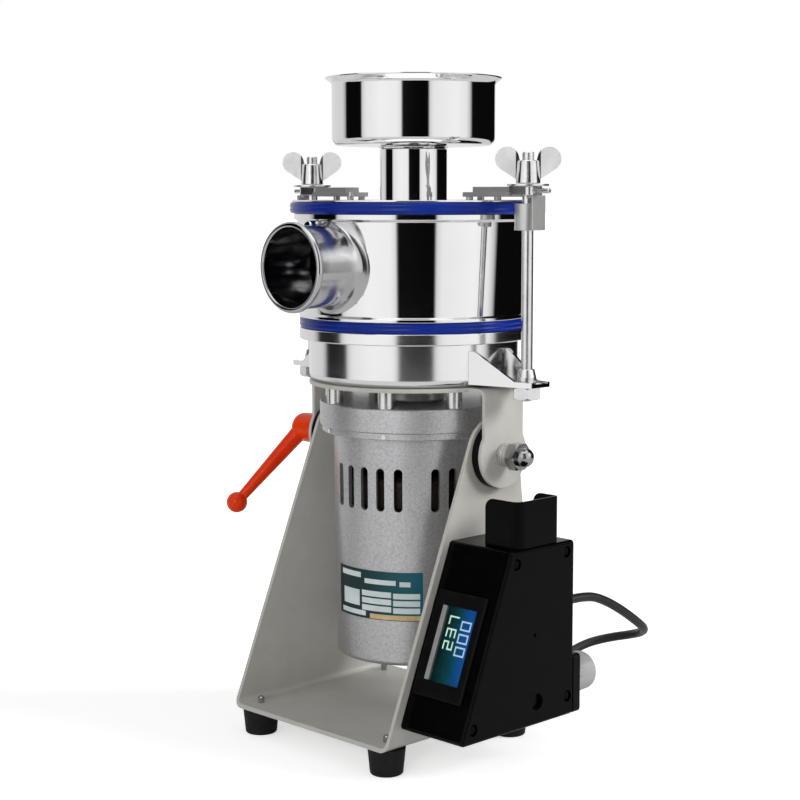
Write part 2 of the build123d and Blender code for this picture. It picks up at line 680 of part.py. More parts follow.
def power_cord():
    points = cord_route()
    radii = [corner_radius(*points[i:i + 3]) for i in range(len(points) - 2)]
    path = FilletPolyline(*points, radius=radii)
    way = Vector(*points[1]) - Vector(*points[0])
    section = Plane(origin=points[0], z_dir=tuple(way)) * Circle(CORD_R)
    return sweep(section, path)


def power_cord_coil():
    height = COIL_STACK
    coil = turned([(COIL_IN_R, 0), (COIL_OUT_R, 0), (COIL_OUT_R, height), (COIL_IN_R, height)], 3.0)
    return Pos(*COIL_CENTRE, 0) * coil


def power_plug():
    """Three-pin plug that lies on the coil."""
    cx, cy = COIL_CENTRE
    body = turned([(0, 0), (5.5, 0), (7.5, 12), (PLUG_R, 22), (PLUG_R, PLUG_LEN), (0, PLUG_LEN)],
                  [0, 1.0, 3.0, 4.0, 2.0, 0])
    for turn in (0, 120, 240):
        pin = Pos(0, 7.2, PLUG_LEN - 1) * Box(2.0, 6.4, 19.0, align=UP)
        body += Rot(0, 0, turn) * pin
    middle = (COIL_OUT_R + COIL_IN_R) / 2
    tail = (cx - middle, cy - PLUG_LEN + 6, COIL_STACK + PLUG_R)
    place = Plane(origin=tail, x_dir=(1, 0, 0), z_dir=(0, 1, 0))
    return place * body


# ---------------------------------------------------------------- head and motor

def head_bracket():
    low, high = BRACKET_TOP - SHEET, BRACKET_TOP
    section = FilletPolyline(
        (-EAR_OUT, PIVOT_Z - EAR_R), (-EAR_OUT, high), (EAR_OUT, high), (EAR_OUT, PIVOT_Z - EAR_R),
        (EAR_IN, PIVOT_Z - EAR_R), (EAR_IN, low), (-EAR_IN, low), (-EAR_IN, PIVOT_Z - EAR_R),
        radius=[0, BEND_R + SHEET, BEND_R + SHEET, 0, 0, BEND_R, BEND_R, 0], close=True)
    channel = extrude(Plane.XZ * make_face(section), amount=EAR_R, both=True)
    strip = Pos(0, (PIVOT_Z + high) / 2) * Rectangle(STRAP_WIDTH, high - PIVOT_Z)
    ear = Pos(0, PIVOT_Z) * Circle(EAR_R)
    strap = channel & prism_x(strip + ear, -EAR_OUT, EAR_OUT)
    bracket = strap + rod_z(BRACKET_R, low, SHEET) - rod_z(BRACKET_BORE_R, low - 1, SHEET + 2)
    return bracket - rod_x(PIVOT_R + SHAFT_GAP, -EAR_OUT - 1, EAR_OUT + 1, 0, PIVOT_Z)


def standoff_posts():
    post = rod_z(POST_R, COLLAR_TOP, POST_H, POST_PITCH_R)
    return group(*around(post, POST_COUNT, POST_FIRST))


def motor_collar():
    """Cast cap on the motor: a deep rim, a skirt below it and the upper bearing's boss."""
    inner = SPIGOT_R + SEAT_GAP
    seat = COLLAR_TOP - COLLAR_WALL
    boss_top = COLLAR_TOP + POST_H - 3
    body = turned([(inner, SKIRT_Z), (SKIRT_R, SKIRT_Z), (SKIRT_R, COLLAR_Z), (COLLAR_R, COLLAR_Z),
                   (COLLAR_R, COLLAR_TOP), (BEARING_BOSS_R + 2, COLLAR_TOP), (BEARING_BOSS_R, boss_top),
                   (SHAFT_R + 1.5, boss_top), (SHAFT_R + 1.5, seat), (BEARING_R + SEAT_GAP, seat),
                   (BEARING_R + SEAT_GAP, seat - BEARING_H), (BEARING_BOSS_R, seat - BEARING_H),
                   (BEARING_BOSS_R, seat), (inner, seat)],
                  [0, 0.8, 0, 0.8, 1.0, 2.0, 1.0, 0, 0, 0, 0, 0, 0, 0])
    for hole in around(rod_x(COLLAR_SCREW_R / 2 + SEAT_GAP, inner - 1, SKIRT_R + 1, 0, SKIRT_Z + SKIRT_H / 2),
                       POST_COUNT, POST_FIRST):
        body -= hole
    return body


def collar_screws():
    z = SKIRT_Z + SKIRT_H / 2
    shank = rod_x(COLLAR_SCREW_R / 2, SPIGOT_R + SEAT_GAP, SKIRT_R, 0, z)
    head = rod_x(COLLAR_SCREW_R, SKIRT_R, SKIRT_R + 1.0, 0, z)
    return group(*around(shank + head, POST_COUNT, POST_FIRST))


def vent_angles():
    """Two pairs of groups: each pair stands either side of a bare rib, and the pairs are opposite."""
    steps = [side * k for side in (-1, 1) for k in range(1, VENT_GROUP + 1)]
    return [VENT_CENTRE + half + k * VENT_PITCH for half in (0, 180) for k in steps]


def motor_housing():
    inner_foot, inner_top = HOUSING_FOOT_R - HOUSING_WALL, HOUSING_TOP_R - HOUSING_WALL
    top = SKIRT_Z + SPIGOT_H
    shell = turned([(inner_foot, HOUSING_Z), (HOUSING_FOOT_R, HOUSING_Z), (HOUSING_TOP_R, SKIRT_Z),
                    (SPIGOT_R, SKIRT_Z), (SPIGOT_R, top), (SPIGOT_R - HOUSING_WALL, top),
                    (SPIGOT_R - HOUSING_WALL, SKIRT_Z + HOUSING_WALL), (inner_top, SKIRT_Z + HOUSING_WALL)])
    slot = extrude(Plane.YZ * (Pos(0, VENT_Z + VENT_H / 2) * SlotOverall(VENT_H, VENT_W, rotation=90)),
                   amount=HOUSING_TOP_R + 5)
    for angle in vent_angles():
        shell -= Rot(0, 0, angle) * slot
    return shell


def motor_end_cap():
    inner = HOUSING_FOOT_R - HOUSING_WALL - SEAT_GAP
    lip, lip_z = inner - HOUSING_WALL, HOUSING_Z + END_CAP_H
    seat_r, seat_z, boss_z = FOOT_BEARING_R + SEAT_GAP, HOUSING_Z - END_CAP_H / 2, HOUSING_Z + FOOT_BEARING_H
    cap = turned([(0, MOTOR_BOTTOM), (HOUSING_FOOT_R, MOTOR_BOTTOM), (HOUSING_FOOT_R, HOUSING_Z),
                  (inner, HOUSING_Z), (inner, lip_z), (lip, lip_z), (lip, HOUSING_Z),
                  (BEARING_R, HOUSING_Z), (BEARING_R, boss_z),
                  (seat_r, boss_z), (seat_r, seat_z), (0, seat_z)],
                 [0, 3.5, 0, 0, 0, 0, 0, 1.0, 0, 0, 0, 0])
    middle = (BEARING_R + lip) / 2
    vent = extrude(SlotOverall(CAP_VENT_LEN, CAP_VENT_W), amount=END_CAP_H + 2)
    vent = Pos(middle, 0, MOTOR_BOTTOM - 1) * vent
    for cut in around(vent, 8):
        cap -= cut
    return cap


def nameplate():
    """Thin curved plate on the housing's slight taper."""
    def radius_at(z):
        taper = HOUSING_SPREAD / (SKIRT_Z - HOUSING_Z)
        return HOUSING_FOOT_R + taper * (z - HOUSING_Z) + SEAT_GAP
    z0, z1 = PLATE_Z, PLATE_Z + PLATE_H
    low, high = radius_at(z0), radius_at(z1)
    face = make_face(Polyline((low, z0), (low + PLATE_T, z0), (high + PLATE_T, z1), (high, z1), close=True))
    plate = revolve(Plane.XZ * face, Axis.Z, PLATE_ARC)
    return Rot(0, 0, PLATE_CENTRE - PLATE_ARC / 2) * plate


def stator_r():
    low = HOUSING_FOOT_R + HOUSING_SPREAD * (STATOR_Z - HOUSING_Z) / (SKIRT_Z - HOUSING_Z)
    return low - HOUSING_WALL - SEAT_GAP


def stator():
    """Laminated core with a field coil on each end."""
    core = ring(stator_r(), STATOR_BORE, STATOR_Z, STATOR_H)
    upper = ring(COIL_R, STATOR_BORE + 2, STATOR_Z + STATOR_H, COIL_H)
    return group(core, upper, ring(COIL_R, STATOR_BORE + 2, STATOR_Z - COIL_H, COIL_H))


def brush_holders():
    z = COMMUTATOR_Z + COMMUTATOR_H / 2
    reach = HOUSING_FOOT_R - HOUSING_WALL - 0.2
    tube = block(COMMUTATOR_R + RUN_GAP, reach, -BRUSH_W / 2, BRUSH_W / 2, z - BRUSH_W / 2, z + BRUSH_W / 2)
    return both_sides(tube)


def bearings():
    upper = ring(BEARING_R, SHAFT_R + SHAFT_GAP, COLLAR_TOP - COLLAR_WALL - BEARING_H, BEARING_H)
    seat_z = HOUSING_Z - END_CAP_H / 2
    lower = ring(FOOT_BEARING_R, JOURNAL_R + SHAFT_GAP, seat_z, FOOT_BEARING_H)
    return group(upper, lower)


def grinding_bowl():
    """Deep bowl with a thick flange, flat inside and round at its outer foot."""
    z0, inner = BRACKET_TOP, BOWL_R - BOWL_WALL
    return turned([(SHAFT_R + 1.5, z0), (BOWL_R, z0), (BOWL_R, FLANGE_Z), (FLANGE_R, FLANGE_Z),
                   (FLANGE_R, GASKET_Z), (inner, GASKET_Z), (inner, z0 + BOWL_WALL),
                   (SHAFT_R + 4.5, z0 + BOWL_WALL), (SHAFT_R + 4.5, z0 + 6), (SHAFT_R + 1.5, z0 + 6)],
                  [0, BOWL_EDGE, 0, 0.8, 0.8, 0, BOWL_EDGE - BOWL_WALL, 1.0, 0.5, 0])


def grinding_ring():
    """Toothed liner that the grain is beaten against."""
    outer = BOWL_R - BOWL_WALL - SEAT_GAP
    z0 = BRACKET_TOP + BOWL_WALL + BOWL_EDGE - BOWL_WALL + 0.2
    liner = ring(outer, outer - RING_WALL, z0, RING_H)
    groove = Pos(outer - RING_WALL, 0, z0) * Rot(0, 0, 45) * Box(3.2, 3.2, RING_H, align=UP)
    for cut in around(groove, RING_TEETH):
        liner -= cut
    return liner


def soft_ring(outer, inner, z0, height):
    """Gasket with a bulging rim that has a shallow groove round its middle."""
    lip, groove = 1.2, 0.6
    low, middle, high = (z0 + height * share for share in (0.28, 0.5, 0.72))
    return turned([(inner, z0), (outer - lip, z0), (outer, low), (outer - groove, middle), (outer, high),
                   (outer - lip, z0 + height), (inner, z0 + height)],
                  [0, 0.6, 1.2, 0.5, 1.2, 0.6, 0])


def lower_gasket():
    return soft_ring(GASKET_R, GASKET_BORE, GASKET_Z, GASKET_H)


def upper_gasket():
    return soft_ring(LID_GASKET_R, CHAMBER_TOP_R - CHAMBER_WALL - 3, LID_GASKET_Z, LID_GASKET_H)


def outlet_tube():
    """Solid outlet about Z, from inside the wall outward: a flared foot and a rolled rim at the mouth."""
    root, rim_z = CHAMBER_FOOT_R - 2 * SADDLE_R + OUTLET_R, OUTLET_REACH - OUTLET_RIM_LEN
    flare_z = CHAMBER_FOOT_R - SADDLE_DIP
    tube = turned([(0, root), (SADDLE_R, root), (SADDLE_R, flare_z), (OUTLET_R, flare_z + SADDLE_LEN),
                   (OUTLET_R, OUTLET_REACH), (0, OUTLET_REACH)], [0, 0, 4.0, 5.0, 0, 0])
    rim = turned([(0, rim_z), (OUTLET_RIM_R, rim_z), (OUTLET_RIM_R, OUTLET_REACH), (0, OUTLET_REACH)],
                 [0, 2.4, 2.4, 0])
    return tube + rim


def upper_chamber():
    """Slightly conical shell with a rim at each end, the outlet pipe on its front and a stud above it."""
    z0, z1 = CHAMBER_Z, LID_GASKET_Z
    wall = turned([(0, z0), (RIM_FOOT_R, z0), (RIM_FOOT_R, z0 + RIM_FOOT_H),
                   (CHAMBER_FOOT_R, z0 + RIM_FOOT_H), (CHAMBER_TOP_R, z1 - RIM_TOP_H),
                   (RIM_TOP_R, z1 - RIM_TOP_H), (RIM_TOP_R, z1), (0, z1)],
                  [0, 0.6, 0.6, 0, 0, 0.8, 0.8, 0])
    along_outlet = Plane(origin=(0, 0, OUTLET_Z), x_dir=(1, 0, 0), z_dir=(0, -1, 0))
    foot_bore, top_bore = CHAMBER_FOOT_R - CHAMBER_WALL, CHAMBER_TOP_R - CHAMBER_WALL
    inside = turned([(0, z0 - 1), (foot_bore, z0 - 1), (top_bore, z1 + 1), (0, z1 + 1)])
    stud = rod_y(STUD_R, -CHAMBER_TOP_R - STUD_REACH, -CHAMBER_FOOT_R, 0, STUD_Z)
    stud = fillet(stud.faces().sort_by(Axis.Y)[0].edges(), 1.4)
    solid = wall + along_outlet * outlet_tube() + Rot(0, 0, STUD_TURN) * stud
    return solid - inside - along_outlet * rod_z(OUTLET_R - OUTLET_WALL, 0, OUTLET_REACH + 1)


def lid_plate():
    lid = ring(LID_R, TUBE_R + SEAT_GAP, LID_Z, LID_T)
    return lid


def feed_tube():
    return ring(TUBE_R, TUBE_R - TUBE_WALL, LID_Z - 6, TUBE_TOP - LID_Z + 6)


def hopper():
    """Cup with a flared rim, a shallow cone and a neck that slides into the feed tube."""
    wall = HOPPER_WALL
    neck = TUBE_R - TUBE_WALL - RUN_GAP
    seat = TUBE_TOP + RUN_GAP
    low = TUBE_TOP - HOPPER_NECK_REACH
    cone_top = seat + HOPPER_THROAT
    flare_z = HOPPER_TOP_Z - 4.5
    points = [(neck, low), (neck, seat), (TUBE_R, seat), (TUBE_R + HOPPER_THROAT, cone_top),
              (HOPPER_R, HOPPER_FOOT_Z), (HOPPER_R, flare_z), (HOPPER_RIM_R, HOPPER_TOP_Z - wall),
              (HOPPER_RIM_R, HOPPER_TOP_Z), (HOPPER_R - wall, flare_z + wall / 2),
              (HOPPER_R - wall, HOPPER_FOOT_Z + wall), (neck - wall, cone_top + wall), (neck - wall, low)]
    return turned(points, [0, 0, 0, 0.5, HOPPER_EDGE, 2.5, 0.4, 0.4, 3.0, HOPPER_EDGE - wall, 2.5, 0])


# ---------------------------------------------------------------- rotor

def motor_shaft():
    shoulder = COLLAR_TOP + POST_H - 2
    top = IMPELLER_Z + IMPELLER_H + 14
    foot, step = HOUSING_Z - END_CAP_H / 2 + RUN_GAP, HOUSING_Z + FOOT_BEARING_H
    return turned([(0, foot), (JOURNAL_R, foot), (JOURNAL_R, step), (SHAFT_R, step),
                   (SHAFT_R, shoulder), (SHAFT_TOP_R, shoulder), (SHAFT_TOP_R, top), (0, top)],
                  [0, 0.8, 0, 0, 0, 0, 1.0, 0])


def armature():
    return ring(STATOR_BORE - ARMATURE_GAP, SHAFT_R + SEAT_GAP, STATOR_Z, STATOR_H)


def commutator():
    return ring(COMMUTATOR_R, SHAFT_R + SEAT_GAP, COMMUTATOR_Z, COMMUTATOR_H)


def cooling_fan():
    plate = ring(FAN_R, SHAFT_R + SEAT_GAP, FAN_Z + FAN_H - 2, 2)
    hub = ring(SHAFT_R + 6, SHAFT_R + SEAT_GAP, FAN_Z, FAN_H)
    length = FAN_R - SHAFT_R - 8
    blade = Rot(0, 0, 18) * Box(length, 1.6, FAN_H - 1, align=UP)
    blade = Pos(FAN_R - 1 - length / 2, 0, FAN_Z) * blade
    fan = plate + hub
    for item in around(blade, FAN_BLADES):
        fan += item
    return fan


def beater_disc():
    """Disc with six hammers that pass close to the toothed ring."""
    disc = ring(BEATER_R, SHAFT_TOP_R + SEAT_GAP, BEATER_Z, BEATER_T)
    hub = ring(SHAFT_TOP_R + 8, SHAFT_TOP_R + SEAT_GAP, BEATER_Z, IMPELLER_Z - BEATER_Z)
    hammer = Pos(BEATER_R - 6, 0, BEATER_Z + BEATER_T) * Box(20, 9, 9, align=UP)
    disc += hub
    for item in around(hammer, HAMMER_COUNT):
        disc += item
    outer = rod_z(BOWL_R - BOWL_WALL - RING_WALL - 2.5, BEATER_Z - 1, IMPELLER_Z - BEATER_Z + 2)
    return disc & outer


def air_impeller():
    """Blades above the hammers that carry the flour to the outlet."""
    plate = ring(IMPELLER_R, SHAFT_TOP_R + SEAT_GAP, IMPELLER_Z, 2)
    hub = ring(SHAFT_TOP_R + 6, SHAFT_TOP_R + SEAT_GAP, IMPELLER_Z, IMPELLER_H)
    wheel = plate + hub
    length = IMPELLER_R - SHAFT_TOP_R - 8
    blade = Rot(0, 0, 12) * Box(length, 2, IMPELLER_H, align=UP)
    blade = Pos(IMPELLER_R - length / 2 - 1.5, 0, IMPELLER_Z) * blade
    for item in around(blade, IMPELLER_BLADES):
        wheel += item
    return wheel


def rotor_nut():
    return Pos(0, 0, IMPELLER_Z + IMPELLER_H) * hex_nut(ROTOR_NUT_AF, ROTOR_NUT_H, SHAFT_TOP_R + SEAT_GAP)


# ---------------------------------------------------------------- clamps

def clamp_brackets():
    """Welded ledge with a sloping wall on each side, which carries the draw rod."""
    root, end = BOWL_R + SEAT_GAP, ARM_BRACKET_END
    wide, narrow = ARM_BRACKET_ROOT_W / 2, ARM_BRACKET_END_W / 2
    inner = root - 8
    plan = make_face(Polyline((inner, -wide), (end, -narrow), (end, narrow), (inner, wide), close=True))
    core = make_face(Polyline((inner, ARM_BRACKET_T - wide), (end + 1, ARM_BRACKET_T - narrow),
                              (end + 1, narrow - ARM_BRACKET_T), (inner, wide - ARM_BRACKET_T), close=True))
    tray = extrude(plan, amount=GUSSET_H) - Pos(0, 0, ARM_BRACKET_T) * extrude(core, amount=GUSSET_H)
    tray = Pos(0, 0, ARM_BRACKET_Z) * tray
    low, step, top = ARM_BRACKET_Z, ARM_BRACKET_Z + GUSSET_END_H, ARM_BRACKET_Z + GUSSET_H
    slope = make_face(Polyline((inner, low), (end, low), (end, step), (end - 14, step), (BOWL_R + 2, top),
                               (inner, top), close=True))
    tray &= extrude(Plane.XZ * slope, amount=ARM_BRACKET_ROOT_W, both=True)
    tray -= rod_z(root, ARM_BRACKET_Z - 1, GUSSET_H + 2)
    tray -= rod_z(ROD_R + SEAT_GAP, ARM_BRACKET_Z - 1, ARM_BRACKET_T + 2, CLAMP_X)
    return both_sides(tray)


def clamp_rods():
    low = ARM_BRACKET_Z - ROD_NUT_H - 1.5
    rod = turned([(0, low), (ROD_R, low), (ROD_R, ROD_TOP), (0, ROD_TOP)], [0, 0.8, 0.8, 0])
    return both_sides(Pos(CLAMP_X, 0, 0) * rod)


def rod_bushings():
    z0 = ARM_BRACKET_Z + ARM_BRACKET_T
    narrow = ARM_BRACKET_END_W / 2 - ARM_BRACKET_T
    bush = turned([(ROD_R + SEAT_GAP, z0), (narrow, z0), (narrow, z0 + 4), (narrow - 1.4, z0 + BUSHING_H),
                   (ROD_R + SEAT_GAP, z0 + BUSHING_H)], [0, 0, 0.8, 0.8, 0])
    return both_sides(Pos(CLAMP_X, 0, 0) * bush)


def rod_nuts():
    nut = hex_nut(ROD_NUT_AF, ROD_NUT_H, ROD_R + SEAT_GAP)
    return both_sides(Pos(CLAMP_X, 0, ARM_BRACKET_Z - ROD_NUT_H) * Rot(0, 0, 15) * nut)


def guide_sleeves():
    """Sleeve on the rod with an upright strap on its outer side that hangs from the arm's end block."""
    bore = rod_z(ROD_R + SEAT_GAP, SLEEVE_Z - 1, SLEEVE_H + 2, CLAMP_X)
    sleeve = rod_z(SLEEVE_R, SLEEVE_Z, SLEEVE_H, CLAMP_X) - bore
    strap_x = CLAMP_X + SLEEVE_R - 1.0
    strap = block(strap_x, strap_x + STRAP_T, -ARM_TOP_W / 2, ARM_TOP_W / 2, SLEEVE_Z, BLOCK_Z)
    shelf_end = max(strap_x + STRAP_T, BLOCK_X1)
    shelf = block(strap_x - 4, shelf_end, -ARM_TOP_W / 2, ARM_TOP_W / 2, BLOCK_Z - STRAP_T, BLOCK_Z)
    return both_sides(sleeve + strap + shelf)


def clamp_arms():
    """Lower bar of each clamp, on three small feet on the lid, and the narrower bar on top of it."""
    end = BLOCK_X0
    bar = extrude(Pos((ARM_X0 + end) / 2, 0) * RectangleRounded(end - ARM_X0, ARM_W, 3.0), amount=ARM_T)
    bar += block(end - 5, end, -ARM_W / 2, ARM_W / 2, 0, ARM_T)
    bar = Pos(0, 0, ARM_Z) * bar
    for x, y in ((ARM_X0 + 5, -6.0), (ARM_X0 + 5, 6.0), (LID_R - 6, 0.0)):
        bar += rod_z(2.6, LID_TOP, ARM_LIFT + 1, x, y)
    plate = block(ARM_TOP_X0, BLOCK_X0, -ARM_TOP_W / 2, ARM_TOP_W / 2, ARM_Z + ARM_T, WASHER_Z - 0.4)
    return both_sides(group(bar, plate))


def arm_end_blocks():
    """Dark end block of each clamp, with the small pin that points outward."""
    blk = block(BLOCK_X0, BLOCK_X1, -BLOCK_W / 2, BLOCK_W / 2, BLOCK_Z, WASHER_Z)
    blk = fillet(blk.edges().filter_by(Axis.Z).sort_by(Axis.X)[-2:], 4.0)
    blk -= rod_z(ROD_R + SEAT_GAP, BLOCK_Z - 1, BLOCK_H + 2, CLAMP_X)
    pin = rod_x(PIN_R, BLOCK_X1, BLOCK_X1 + PIN_LEN, 0, BLOCK_Z + BLOCK_H / 2)
    return both_sides(group(blk, fillet(pin.faces().sort_by(Axis.X)[-1].edges(), 0.8)))


def clamp_washers():
    return both_sides(Pos(CLAMP_X, 0, 0) * ring(WASHER_R, ROD_R + SEAT_GAP, WASHER_Z, WASHER_T))


def wing_nut():
    """Wing nut standing on Z = 0, its wings in the XZ plane."""
    boss = turned([(0, 0), (WING_BOSS_R + 0.6, 0), (WING_BOSS_R - 0.6, WING_BOSS_H), (0, WING_BOSS_H)],
                  [0, 0.8, 1.0, 0])
    tip_x = WING_SPAN / 2 - WING_TIP_R
    tip = Pos(tip_x, WING_RISE) * Circle(WING_TIP_R)
    root = Line((WING_BOSS_R - 3, 1.0), (WING_BOSS_R - 3, WING_BOSS_H - 3))
    wing = make_hull(tip.edges() + root.edges())
    wings = extrude(Plane.XZ * wing, amount=WING_T / 2, both=True)
    wings += mirror(wings, about=Plane.YZ)
    return boss + wings - rod_z(ROD_R + SHAFT_GAP, -1, WING_BOSS_H + 2)


def wing_nut_right():
    return Pos(CLAMP_X, 0, WING_Z) * Rot(0, 0, WING_TURN) * wing_nut()


def wing_nut_left():
    return Pos(-CLAMP_X, 0, WING_Z) * Rot(0, 0, WING_TURN) * wing_nut()


NODES = (
    cradle_frame, rubber_feet, foot_screws, pivot_bolt_right, pivot_stud_left, pivot_spacers, pivot_washers,
    pivot_nut_right,
    tilt_lever, control_box_body, control_box_cover, cover_screws, meter_bezel, meter_window, meter_board,
    switch_guard, switch_frame, power_rocker, knob_plate, speed_board, speed_knob, cord_gland, power_cord,
    power_cord_coil, power_plug, head_bracket, standoff_posts, motor_collar, collar_screws, motor_housing,
    motor_end_cap, nameplate, stator, brush_holders, bearings, grinding_bowl, grinding_ring,
    lower_gasket, upper_chamber, upper_gasket, lid_plate, feed_tube, hopper, motor_shaft,
    armature, commutator, cooling_fan, beater_disc, air_impeller, rotor_nut, clamp_brackets, clamp_rods,
    rod_bushings, rod_nuts, guide_sleeves, clamp_arms, arm_end_blocks, clamp_washers, wing_nut_right,
    wing_nut_left,
)


def main():
    os.makedirs("parts", exist_ok=True)
    for make in NODES:
        export_step(Pos(MILL_X, MILL_Y, 0) * make(), f"parts/{make.__name__}.step")


main()
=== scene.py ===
"""Looks of the electric grain mill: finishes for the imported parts, the power cord and the fine pieces."""

import math

import bmesh
import bpy
from mathutils import Matrix, Vector
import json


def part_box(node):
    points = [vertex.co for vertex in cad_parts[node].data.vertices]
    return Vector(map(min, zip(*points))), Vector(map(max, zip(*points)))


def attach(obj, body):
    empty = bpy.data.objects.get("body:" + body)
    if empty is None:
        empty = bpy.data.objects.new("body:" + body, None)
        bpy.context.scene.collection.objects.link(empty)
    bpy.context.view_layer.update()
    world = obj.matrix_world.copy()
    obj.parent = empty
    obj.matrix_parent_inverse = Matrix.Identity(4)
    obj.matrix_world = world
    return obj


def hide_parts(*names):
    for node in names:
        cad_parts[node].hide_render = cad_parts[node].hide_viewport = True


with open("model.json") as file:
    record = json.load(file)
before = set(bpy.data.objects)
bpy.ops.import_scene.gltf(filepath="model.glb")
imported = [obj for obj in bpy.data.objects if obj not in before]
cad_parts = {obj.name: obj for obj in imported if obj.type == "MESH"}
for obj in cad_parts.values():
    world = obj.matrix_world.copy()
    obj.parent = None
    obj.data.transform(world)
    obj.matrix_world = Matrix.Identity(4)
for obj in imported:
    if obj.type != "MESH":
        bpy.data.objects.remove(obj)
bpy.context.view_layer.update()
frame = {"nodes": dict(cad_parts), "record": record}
nodes = frame["nodes"]
record = frame["record"]
BODY_OF = {node: body for body, members in record["behaviour"]["bodies"].items() for node in members}
SLOT_OF = {entry["node"]: entry["material_slot"] for entry in record["subparts"]}

MM = 0.001
hopper_low, hopper_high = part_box("hopper")
MILL_AXIS = Vector(((hopper_low.x + hopper_high.x) / 2, (hopper_low.y + hopper_high.y) / 2, 0.0))


def from_axis(x, y, z):
    """A place given in millimetres from the mill's own axis and the floor."""
    return MILL_AXIS + Vector((x, y, z)) * MM


# ---------------------------------------------------------------- camera

CAMERA_PLACE = from_axis(947.0, -947.0, 414.0)
CAMERA_PITCH = 6.7
CAMERA_TURN = 45.0
CAMERA_LENS = 78.75
CAMERA_SHIFT = -0.0169

camera_data = bpy.data.cameras.new("camera")
camera_data.lens = CAMERA_LENS
camera_data.sensor_width = 36.0
camera_data.shift_x = CAMERA_SHIFT
camera = bpy.data.objects.new("camera", camera_data)
camera.location = CAMERA_PLACE
camera.rotation_euler = (math.radians(90.0 - CAMERA_PITCH), 0.0, math.radians(CAMERA_TURN))
bpy.context.scene.collection.objects.link(camera)
bpy.context.scene.camera = camera


# ---------------------------------------------------------------- materials

SMOOTHEST = 0.02
COAT_ROUGHNESS = 0.06
GRAIN_DEPTH = 0.2
WINDOW_X0 = 100.0
WINDOW_X1 = 130.4
PLATE_LEFT = -78.0        # ends of the painted shade that darkens the nameplate's print towards its left, across the view from the right front
PLATE_RIGHT = 10.0
OUTLET_REACH = 126.0
MOUTH_LEN = 4.0           # mirror-bright end of the outlet
MOUTH_FADE = 7.0          # where its brightness has gone
CLAMP_X = 115.5
BOSS_R = 8.8              # turned boss of a wing nut
WINGS_FROM_R = 9.4

def new_material(name):
    material = bpy.data.materials.new(name)
    material.use_nodes = True
    tree = material.node_tree
    return material, tree, tree.nodes["Principled BSDF"]


def object_coordinates(tree, scale=(1.0, 1.0, 1.0)):
    place = tree.nodes.new("ShaderNodeTexCoord")
    mapping = tree.nodes.new("ShaderNodeMapping")
    mapping.inputs["Location"].default_value = (-MILL_AXIS.x * scale[0], -MILL_AXIS.y * scale[1], 0.0)
    mapping.inputs["Scale"].default_value = scale
    tree.links.new(place.outputs["Object"], mapping.inputs["Vector"])
    return mapping.outputs["Vector"]


def along(tree, vector, axis):
    parts = tree.nodes.new("ShaderNodeSeparateXYZ")
    tree.links.new(vector, parts.inputs["Vector"])
    return parts.outputs[axis]


def noise(tree, vector, scale, detail=3.0):
    node = tree.nodes.new("ShaderNodeTexNoise")
    node.inputs["Scale"].default_value = scale
    node.inputs["Detail"].default_value = detail
    tree.links.new(vector, node.inputs["Vector"])
    return node.outputs["Fac"]


def colour_ramp(tree, value, stops):
    ramp = tree.nodes.new("ShaderNodeValToRGB")
    elements = ramp.color_ramp.elements
    elements[0].position, elements[-1].position = stops[0][0], stops[-1][0]
    elements[0].color, elements[-1].color = (*stops[0][1], 1.0), (*stops[-1][1], 1.0)
    for position, colour in stops[1:-1]:
        elements.new(position).color = (*colour, 1.0)
    tree.links.new(value, ramp.inputs["Fac"])
    return ramp.outputs["Color"]


def value_range(tree, value, low, high, start=0.0, end=1.0):
    node = tree.nodes.new("ShaderNodeMapRange")
    node.inputs["From Min"].default_value = start
    node.inputs["From Max"].default_value = end
    node.inputs["To Min"].default_value = low
    node.inputs["To Max"].default_value = high
    tree.links.new(value, node.inputs["Value"])
    return node.outputs["Result"]


def calculate(tree, operation, first, second=0.0):
    node = tree.nodes.new("ShaderNodeMath")
    node.operation = operation
    for socket, source in zip(node.inputs, (first, second)):
        if isinstance(source, float):
            socket.default_value = source
        else:
            tree.links.new(source, socket)
    return node.outputs["Value"]


def bump(tree, shader, height, strength, distance):
    node = tree.nodes.new("ShaderNodeBump")
    node.inputs["Strength"].default_value = strength
    node.inputs["Distance"].default_value = distance
    tree.links.new(height, node.inputs["Height"])
    tree.links.new(node.outputs["Normal"], shader.inputs["Normal"])


def mottled(name, dark, pale, roughness, metallic=0.0, scale=60.0, rough_spread=0.06, grain=0.0,
            grain_scale=900.0, coat=0.0, shine=0.5):
    """A finish whose colour and gloss drift a little over the surface, with an optional fine grain."""
    material, tree, shader = new_material(name)
    where = object_coordinates(tree)
    drift = noise(tree, where, scale)
    tree.links.new(colour_ramp(tree, drift, [(0.3, dark), (0.7, pale)]), shader.inputs["Base Color"])
    gloss = value_range(tree, drift, max(roughness - rough_spread, SMOOTHEST), roughness + rough_spread)
    tree.links.new(gloss, shader.inputs["Roughness"])
    shader.inputs["Metallic"].default_value = metallic
    shader.inputs["Specular IOR Level"].default_value = shine
    shader.inputs["Coat Weight"].default_value = coat
    shader.inputs["Coat Roughness"].default_value = COAT_ROUGHNESS
    if grain:
        bump(tree, shader, noise(tree, where, grain_scale, 2.0), grain, GRAIN_DEPTH * MM)
    return material


